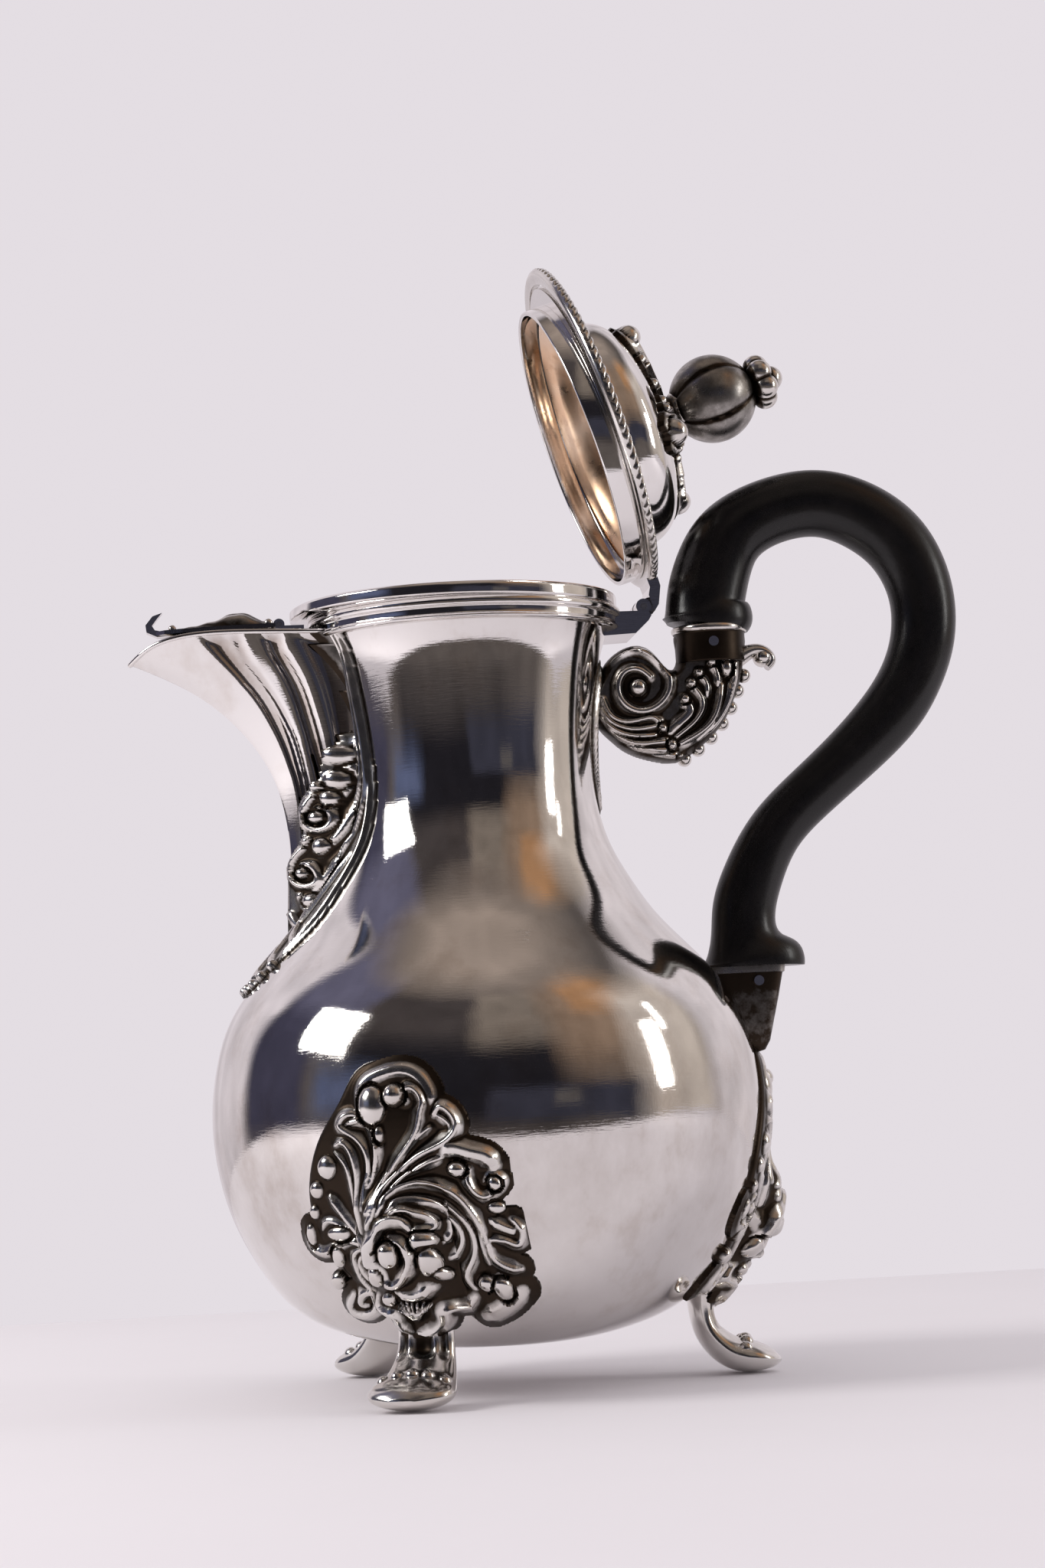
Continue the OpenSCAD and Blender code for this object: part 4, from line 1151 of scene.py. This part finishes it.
def make_spout():
    """Both flanks of the spout with their inside."""
    shape = Shape()
    for sign in (-1, 1):
        outer, sunk = spout_side(0, sign)
        inner, _ = spout_side(SPOUT_WALL, sign)
        both = np.concatenate([outer, inner[::-1]], 0)
        # Painted shade in the flutes of the outside; the inside is left clean.
        dark = np.concatenate([np.clip(sunk * 0.55, 0, 0.9), 0 * sunk], 0)
        shape.add(both.reshape(-1, 3), grid_faces(2 * SPOUT_ROWS, SPOUT_COLS), dark.reshape(-1))
    piece("spout", shape, "pot", ["spout_shell"], "polished_silver", 60)


def make_spout_lip():
    """Rolled wire along the spout's top edge, round its tip."""
    lip = Shape()
    outer, _ = spout_side(0.3, -1)
    near = outer[-1][outer[-1][:, 0] < LIP_END_X]
    path = np.vstack([near, (near * (1, -1, 1))[::-1][1:]])
    lip.add(*tube(path - (0, 0, LIP_DROP), LIP_R))
    piece("spout_lip", lip, "pot", ["spout_shell"], "polished_silver")


# ---- ornament along the spout's joint ----

# Height where the ornament ends, at the spout's top edge
MOUNT_TOP = 186.4
MOUNT_EDGE = [(0, 97.5), (5, 98), (10.5, 100.5), (13.5, 105.5), (16.4, 112), (17.4, 121), (17.6, 129),
              (16.4, 139), (15.4, 152), (14.7, 170), (14.9, 186)]
# Ridges, right of the spout and mirrored to its left: width, height and places (across, up from the ground)
MOUNT_RIDGES = [
    (0.8, 2.2, [(16.6, 186), (15.6, 175.5), (15.4, 166), (15.6, 157.5), (15.8, 151), (15.4, 143.5),
                (13, 136)]),
    (0.6, 2.0, [(14.6, 186), (14.2, 172), (14, 160), (13.8, 150), (12, 143.5), (9.5, 136), (7, 132.5)]),
    (0.6, 2.0, [(12.5, 160), (11.8, 153.5), (10.6, 147.5), (8.6, 141)]),
    (0.7, 1.9, [(16.2, 152), (17, 141), (17.4, 132), (17.2, 123), (16.2, 114), (14, 107.5)]),
    (1.0, 2.2, [(13, 136), (9, 129), (5, 123)]),
    (0.7, 1.8, [(14.5, 131), (11.5, 124), (8, 118), (5, 113)]),
    (0.7, 2.4, [(7.6, 147.5), (5.4, 144), (5.2, 139.5), (7.4, 138), (9.2, 140.2), (8.2, 143.4),
                (6.6, 142.8)]),
    (0.7, 2.4, [(4.4, 134.4), (1.8, 131), (1.4, 126.8), (3.6, 124.6), (6, 126), (5.4, 129.6), (3.6, 130)]),
    (0.9, 1.9, [(2.5, 122.5), (4.5, 117), (8, 112.5), (12.5, 110)]),
    (0.9, 1.9, [(0.5, 118), (3, 112), (7, 107), (11, 105)]),
    (0.9, 1.9, [(0, 112), (2, 106), (5, 102.5), (9, 101.5)]),
]
MOUNT_KNOBS = [(6.8, 141.2, 1.4, 1.7, 2.6), (7.6, 148.8, 1.1, 1.3, 2.2), (3.4, 127.8, 1.3, 1.6, 2.6),
               (4.8, 135.6, 1.1, 1.3, 2.2), (10.6, 156, 1.5, 2.4, 2.1), (10, 150, 1.4, 2.4, 2.2),
               (8.9, 145.6, 1.3, 2, 2.2), (7, 134, 1.5, 2.2, 2.2), (4.2, 121, 1.5, 1.8, 2.3),
               (13.2, 104.6, 1.2, 1.2, 2.0), (11.4, 102.2, 1.2, 1.1, 2.0), (8.6, 100.4, 1.2, 1.0, 2.0),
               (5.4, 99.4, 1.2, 1.0, 2.0), (2.2, 98.9, 1.2, 1.0, 2.0)]


def mount_host(u, v):
    """Outer of the neck's wall and the spout's flank, seen along X from the spout's side."""
    neck = -np.sqrt(np.maximum(body_r(v) ** 2 - u * u, 0))
    half = spout_half(v)
    share = np.clip(np.abs(u) / half, 0, 1)
    s = (1 - share ** (1 / 0.85)) ** (1 / 1.6)
    flank = SPOUT_ROOT + s * (np.interp(v, KEEL[:, 1], KEEL[:, 0]) - SPOUT_ROOT)
    flank = np.where(np.abs(u) < half, flank, 0)
    return np.stack([np.minimum(neck, flank), u, v], -1)


def make_mount():
    """Scrolls and leaves down the joint of the spout, on both sides."""
    relief = Relief((-0.4, 95), (20, 188), 0.35, 0.8)
    left = [(-y, z) for y, z in MOUNT_EDGE[:0:-1]]
    # how far the ground reaches in over the spout: all of it low down, hardly any near the rim
    reach = np.interp(relief.v, [124, 146, 156, 160], [14, 5.5, 3.5, 0.2])
    relief.ground(left + MOUNT_EDGE, 1.4, np.abs(relief.u) > spout_half(relief.v) - reach)
    for width, height, points in MOUNT_RIDGES:
        relief.ridge(width, height, points, reach=1.5)
    for knob in MOUNT_KNOBS:
        relief.dome(*knob)
    relief.h = np.where(relief.v > MOUNT_TOP, SUNK, relief.h)
    shape = Shape()
    relief.sheet(shape, mount_host, deep=1.0)
    piece("spout_ornament", mirrored(shape), "pot", ["spout_mount"], "oxidised_silver", 55)


# ---- sockets of the handle ----

BRACKET_EDGE = [(30, 170), (32.5, 173.5), (35, 177.5), (38.5, 180.4), (43, 181.6), (47, 179.6),
                (50.5, 175.4), (52.3, 175.6), (53, 180), (53, 184), (61.8, 184.2), (70.4, 184), (70.4, 179),
                (69.4, 173.5), (67.4, 168), (64.8, 162.6), (61, 158), (56.5, 154.4), (51.5, 151.8),
                (45.5, 152.6), (40, 154.6), (35, 158.6), (31, 164)]
BRACKET_RIDGES = [
    (0.9, 6.2, [(34.5, 176.5), (38, 179.4), (42.5, 180.4), (47, 178.2), (50.2, 173.8), (50, 169.4),
                (46.6, 165.6), (42, 164.8), (38.2, 167.4), (37.4, 171.6), (39.4, 174.8), (42.8, 175.2),
                (45.6, 173.2)]),
    (0.5, 5.9, [(33.5, 168), (35.5, 163.7), (40, 162.2), (45, 163), (47, 162.2), (48.2, 160)]),
    (0.5, 5.7, [(33, 165.5), (35.5, 162.2), (41, 160.3), (46.5, 161)]),
    (0.5, 5.8, [(32.5, 163.5), (36, 160.3), (41, 158.6), (46, 158.6)]),
    (0.6, 6.0, [(32.5, 162), (36, 158.8), (41, 156.7), (46.5, 156.7), (50, 157)]),
    (0.6, 6.0, [(32.5, 161), (35, 157.6), (40, 155.4), (44.5, 154.8), (50.5, 154.8)]),
    (0.8, 5.8, [(33, 159), (36.5, 156.2), (41, 153.8), (46, 152.9), (50, 153), (52.5, 152.3)]),
    (1.6, 5.7, [(50, 159.5), (53, 162), (55, 164), (54.8, 165.6), (53.5, 167.5)]),
    (0.6, 6.0, [(51.5, 158), (55.5, 161), (57.7, 163.6), (58.5, 166.5), (57, 169.5), (55.5, 171)]),
    (0.7, 6.2, [(52, 156), (56, 158), (60.5, 161.5), (62.7, 166.5), (63.5, 170.5)]),
    (0.6, 5.7, [(58, 173.5), (59.7, 171), (59.7, 168)]),
    (0.6, 5.8, [(61.3, 176), (62.5, 173.5), (62.7, 170.5)]),
    (0.6, 5.9, [(60, 158.8), (63.7, 163.5), (66.2, 169), (67.3, 176)]),
    (0.5, 5.5, [(57, 157), (62, 161.8), (65, 168), (65.5, 171)]),
]
BRACKET_KNOBS = [(42.4, 170.6, 2.4, 2.4, 7.4), (48.2, 160.2, 1.2, 1.3, 6.3), (50.3, 156, 1.3, 1.5, 6.3),
                 (52.6, 152.6, 1.2, 1.1, 5.9), (65, 175, 1.6, 2.6, 6.3), (65, 179.4, 1.6, 1.5, 6.3),
                 (54.2, 167.4, 1.3, 1.3, 6.0), (56, 171.4, 1.3, 1.3, 6.0), (58, 174, 1.3, 1.3, 6.0),
                 (61.4, 176.6, 1.3, 1.3, 6.0)]
COLLAR_X = 61.8
COLLAR_Z = 185.8
COLLAR_AROUND = 72
SOCKET_BEADS = [(53.8, 152.6), (57.4, 155), (60.8, 157.9), (63.8, 161.3), (66.2, 165.2), (68.1, 169.4),
                (69.9, 173.2)]


def pillow(relief, outline):
    """Two-sided plate in the plane of the handle, whose thickness is the relief's height."""
    depth = depth_in(relief.u, relief.v, outline)
    u, v, h = relief.u.copy(), relief.v.copy(), relief.h.copy()
    edge = (depth <= 0) & (depth > -1.5 * relief.step)
    closed = np.vstack([outline, outline[:1]])
    for i, j in np.argwhere(edge):
        along = closed[1:] - closed[:-1]
        off = np.array([u[i, j], v[i, j]]) - closed[:-1]
        t = np.clip((off * along).sum(1) / (along ** 2).sum(1), 0, 1)
        near = closed[:-1] + t[:, None] * along
        k = np.hypot(near[:, 0] - u[i, j], near[:, 1] - v[i, j]).argmin()
        u[i, j], v[i, j] = near[k]
        h[i, j] = 0
    faces = np.array(grid_faces(*h.shape))
    kept = ((depth > 0) | edge).reshape(-1)[faces].all(1) & (depth > 0).reshape(-1)[faces].any(1)
    # Dark share of oxide patina and painted shade, worked out as for any relief.
    dark = relief.patina_and_shade(1.0, relief.base + 0.45).reshape(-1)
    shape = Shape()
    for sign in (-1, 1):
        side = np.stack([u, sign * np.maximum(h, 0), v], -1).reshape(-1, 3)
        shape.add(side, faces[kept].tolist(), dark)
    return shape


def make_upper_socket():
    """Scroll bracket with its beads, curled tip and collar."""
    outline = smooth_outline(BRACKET_EDGE)
    relief = Relief((28, 149), (73, 187), 0.3, 4.5)
    depth = depth_in(relief.u, relief.v, outline)
    share = np.clip(depth / 2.4, 0, 1)
    round_edge = np.sqrt(share * (2 - share))
    relief.h = np.where(depth > 0, relief.base * round_edge, 0)
    for width, height, points in BRACKET_RIDGES:
        relief.ridge(width, height, points, reach=2.1, power=1.5)
    for knob in BRACKET_KNOBS:
        relief.dome(*knob)
    relief.h = relief.h * np.clip(0.25 + 0.75 * round_edge + (depth > 2.4), 0, 1)
    shape = pillow(relief, outline)
    for x, z in SOCKET_BEADS:
        points, faces = ball((x, 0, z), (1.85, 2.3, 1.85), 16, 24)
        # Painted shade on the side of each bead that faces the bracket.
        off = np.hypot(points[:, 0] - COLLAR_X + 10, points[:, 2] - 172)
        dark = np.clip((math.hypot(x - COLLAR_X + 10, z - 172) - 0.1 - off) / 0.8, 0, 1)
        shape.add(points, faces, dark)
    shape.add(*rod_in_plane([(66.5, 176.6, 5.4, 7.4), (69.5, 178.2, 4.6, 6.6), (72.5, 179.4, 3.6, 6),
                             (75.6, 179, 3, 5.6), (77.2, 176.8, 2.4, 5.2), (76, 175, 1.8, 4.8)], 8, 24),
              0.12)
    curl, curl_faces = ball((75, 177.6, 0), (2.4, 2.4, 3.4))
    shape.add(curl[:, [0, 2, 1]], curl_faces, 0.05)
    collar = rounded([(6.3, 176.5), (8.7, 176.5), (8.8, 181), (8.9, COLLAR_Z - 1.9), (9.4, COLLAR_Z - 1.5),
                      (9.6, COLLAR_Z - 0.8), (9.3, COLLAR_Z), (6.3, COLLAR_Z)], 0.35)
    dark = np.where(collar[:, 1] > COLLAR_Z - 1.7, 0.1, 0.85)
    shape.add(*revolve(collar, COLLAR_AROUND, COLLAR_X), np.repeat(dark, COLLAR_AROUND))
    piece("upper_scroll_socket", shape, "pot", ["upper_socket"], "oxidised_silver", 55)


# One side of the leaf plate's outline, from its foot to its tip
SOCKET_LEAF_HALF = [(0, 140), (4, 149), (7, 158), (7.6, 168), (5, 175.5), (0, 179)]


def make_socket_leaf():
    """Leaf plate on the neck, behind the scroll bracket."""
    leaf = Relief((-9.5, 138), (9.5, 181), 0.4, 0.6)
    edge = SOCKET_LEAF_HALF + [(-u, v) for u, v in SOCKET_LEAF_HALF[-2:0:-1]]
    leaf.ground(smooth_outline(edge), 1.0)
    for side in (-1, 1):
        leaf.ridge(0.6, 1.5, [(0, 141), (4 * side, 150), (6.6 * side, 159), (7 * side, 168),
                              (4 * side, 176)], 1.4)
        leaf.ridge(0.5, 1.3, [(0, 146), (2.6 * side, 154), (3.4 * side, 164)], 1.2)
    leaf.ridge(0.8, 1.6, [(0, 141), (0, 150), (0, 160)], 1.4)
    plate = Shape()
    leaf.sheet(plate, lambda u, v: np.stack([np.sqrt(body_r(v) ** 2 - u * u), u, v], -1), deep=0.9)
    piece("socket_leaf_plate", plate, "pot", ["upper_socket"], "oxidised_silver", 55)


SOCKET_AROUND = 40
SOCKET_SQUARENESS = 0.35
# Up the lower socket: height, nearest and furthest x, half width, share of dark, which is oxide patina with
# painted shade under the bead and towards the tip
SOCKET_STATIONS = [(100.0, 55.5, 75.9, 6.5, 0.5), (98.4, 55.5, 75.7, 6.5, 0.3),
                   (98.2, 55.6, 75.2, 6.15, 0.8), (92, 56.5, 73.8, 6.0, 0.62), (86, 58, 72.3, 5.7, 0.6),
                   (81.5, 60, 71.2, 5.3, 0.64), (79.2, 62, 69.9, 4.6, 0.75), (78.6, 63.5, 68, 3.6, 0.85)]


def make_lower_socket():
    """Tapered socket with rounded corners and a thin bead round its mouth."""
    c, s = oval(SOCKET_AROUND, SOCKET_SQUARENESS)
    rings = [np.column_stack([(near + far) / 2 + (far - near) / 2 * c, half * s, np.full(SOCKET_AROUND, z)])
             for z, near, far, half, _ in SOCKET_STATIONS]
    last = (len(rings) - 1) * SOCKET_AROUND
    faces = grid_faces(len(rings), SOCKET_AROUND, False, True)
    faces += [list(range(SOCKET_AROUND)), [last + j for j in range(SOCKET_AROUND)]]
    dark = np.repeat([station[-1] for station in SOCKET_STATIONS], SOCKET_AROUND)
    shape = Shape().add(np.vstack(rings), faces, dark)
    piece("lower_scroll_socket", shape, "pot", ["lower_socket"], "oxidised_silver", 50)


# ---- leaves of the lid, and the flap ----

LID_LEAF_AZ = (20, 110, 200, 290)
# One side of a leaf's outline, from its foot to its tip
LID_LEAF_HALF = [(3, 4.6), (6, 5.2), (9.5, 6.6), (13, 5), (16, 5.6), (19.5, 4), (22.5, 3.2), (24.4, 0)]


def make_lid_leaves():
    """Four leaves round the foot of the finial, and its stem."""
    shape = Shape()
    relief = Relief((2.5, -9), (26.5, 9), 0.3, 1.5)
    edge = LID_LEAF_HALF + [(u, -v) for u, v in LID_LEAF_HALF[-2::-1]]
    relief.ground(smooth_outline(edge), 1.2)
    for side in (-1, 1):
        relief.ridge(0.6, 3.2, [(3, 2.5 * side), (7, 3.5 * side), (10, 6 * side)], 1.8)
        relief.ridge(0.6, 3.3, [(5, 1.2 * side), (11, 2.6 * side), (16, 5.2 * side)], 1.8)
        relief.ridge(0.6, 3.6, [(10, 0.9 * side), (16, 2 * side), (20, 3.6 * side), (23, 2.6 * side)], 1.8)
        relief.dome(9.8, 6.0 * side, 1.5, 1.3, 2.9)
        relief.dome(16.4, 5.2 * side, 1.4, 1.2, 2.9)
    relief.ridge(1.2, 3.8, [(3, 0), (12, 0), (19, 0)], 1.6)
    relief.dome(21.2, 0, 2.9, 3.5, 5.6)
    for azimuth in LID_LEAF_AZ:
        leaf = Shape()
        up = np.broadcast_to(np.array([0.0, 0, 1]), relief.u.shape + (3,))
        relief.sheet(leaf, lambda u, v: np.stack([u, v, dome_z(np.hypot(u, v)) - 0.1], -1), deep=1.9,
                     outward=up)
        shape.add(turned(leaf.all_points(), azimuth), leaf.faces, np.concatenate(leaf.patina_and_shade))
    boss = rounded([(0.2, 211.5), (8, 211.6), (8.3, 212.6), (7.2, 213.4), (5.9, 214.3), (4.6, 215.4),
                    (4.4, 216.6), (5.2, 217.6), (5.2, 218.8), (0.2, 218.8)], 0.4)
    points, faces = revolve(boss, 64)
    # Oxide patina and painted shade in the boss's waist.
    shape.add(points, faces, np.clip(1.1 - np.abs(points[:, 2] - 215.9) / 1.6, 0.15, 0.9))
    piece("lid_calyx", shape, "lid", ["lid_leaves"], "oxidised_silver", 55, swung)


# Shell on the flap: distance along X, height of its top, half width
SHELL_STATIONS = [(-48.4, 189.9, 2.4), (-49.5, 190.8, 4.6), (-51.5, 192.2, 5.9), (-54, 193.3, 6.6),
                  (-57, 193.7, 6.4), (-61, 192.3, 5.6), (-66, 190.9, 4), (-70, 190.1, 2.2),
                  (-71.6, 189.5, 1)]


SHELL_COLS = 81
SHELL_ROOT_X = -71
SHELL_Z = 189.0
SHELL_FLUTES = 9


def make_flap_shell():
    """Ribbed shell on the flap."""
    line = spline(SHELL_STATIONS, 10)
    t = np.linspace(-1, 1, SHELL_COLS)[None, :]
    x, top, half = line[:, 0:1], line[:, 1:2], line[:, 2:3]
    bow = np.sqrt(np.clip(1 - t * t, 0, 1))
    fan = np.arctan2(t * half, -(x - SHELL_ROOT_X))
    ribs = np.abs(np.cos(fan * SHELL_FLUTES))
    rings = 0.5 + 0.5 * np.cos(np.hypot(x - SHELL_ROOT_X, t * half) * 1.3)
    rise = (top - SHELL_Z) * bow ** 0.8
    relief = -0.75 * (1 - ribs) ** 1.2 * bow * np.clip((-50 - x) / 3 + 1, 0, 1) - 0.25 * rings * bow
    z = np.maximum(SHELL_Z + rise + relief, SHELL_Z - 0.1)
    points = np.stack([x + 0 * t, half * t, z], -1)
    # Dark between the ribs with oxide patina and painted shade, and painted shade round the shell's edge
    # where it lies on the flap.
    dark = np.clip((1 - ribs) * 1.4, 0, 1) * bow + (1 - bow) * 0.7
    faces = grid_faces(len(line), SHELL_COLS)
    shape = Shape().add(points.reshape(-1, 3), faces, np.clip(dark, 0, 1).reshape(-1))
    for x0, z0, r in [(-48.8, 190.6, 1.1), (-50.2, 190.3, 0.9), (-72.6, 189.9, 1.0)]:
        for side in (-1, 1):
            shape.add(*ball((x0, side * r * 1.3, z0), (r, r, r)), 0.1)
    piece("flap_ribbed_shell", shape, "flap", ["flap_shell"], "oxidised_silver", 55)


# ---- scene ----

bpy.context.scene.view_settings.view_transform = "Standard"
make_camera()
make_polished_silver()
make_oxidised_silver()
make_ebonised_wood()
make_gilt_silver()
make_floor()
make_lights()
make_world()
make_body()
make_rim()
make_grip()
make_lid()
make_border()
make_finial()
make_berries()
make_feet()
make_spout()
make_spout_lip()
make_mount()
make_upper_socket()
make_socket_leaf()
make_lower_socket()
make_lid_leaves()
make_flap_shell()

for part in frame["record"]["subparts"]:
    obj = frame["nodes"][part["node"]]
    if not obj.hide_render:
        obj.data.materials.clear()
        obj.data.materials.append(materials[part["material_slot"]])
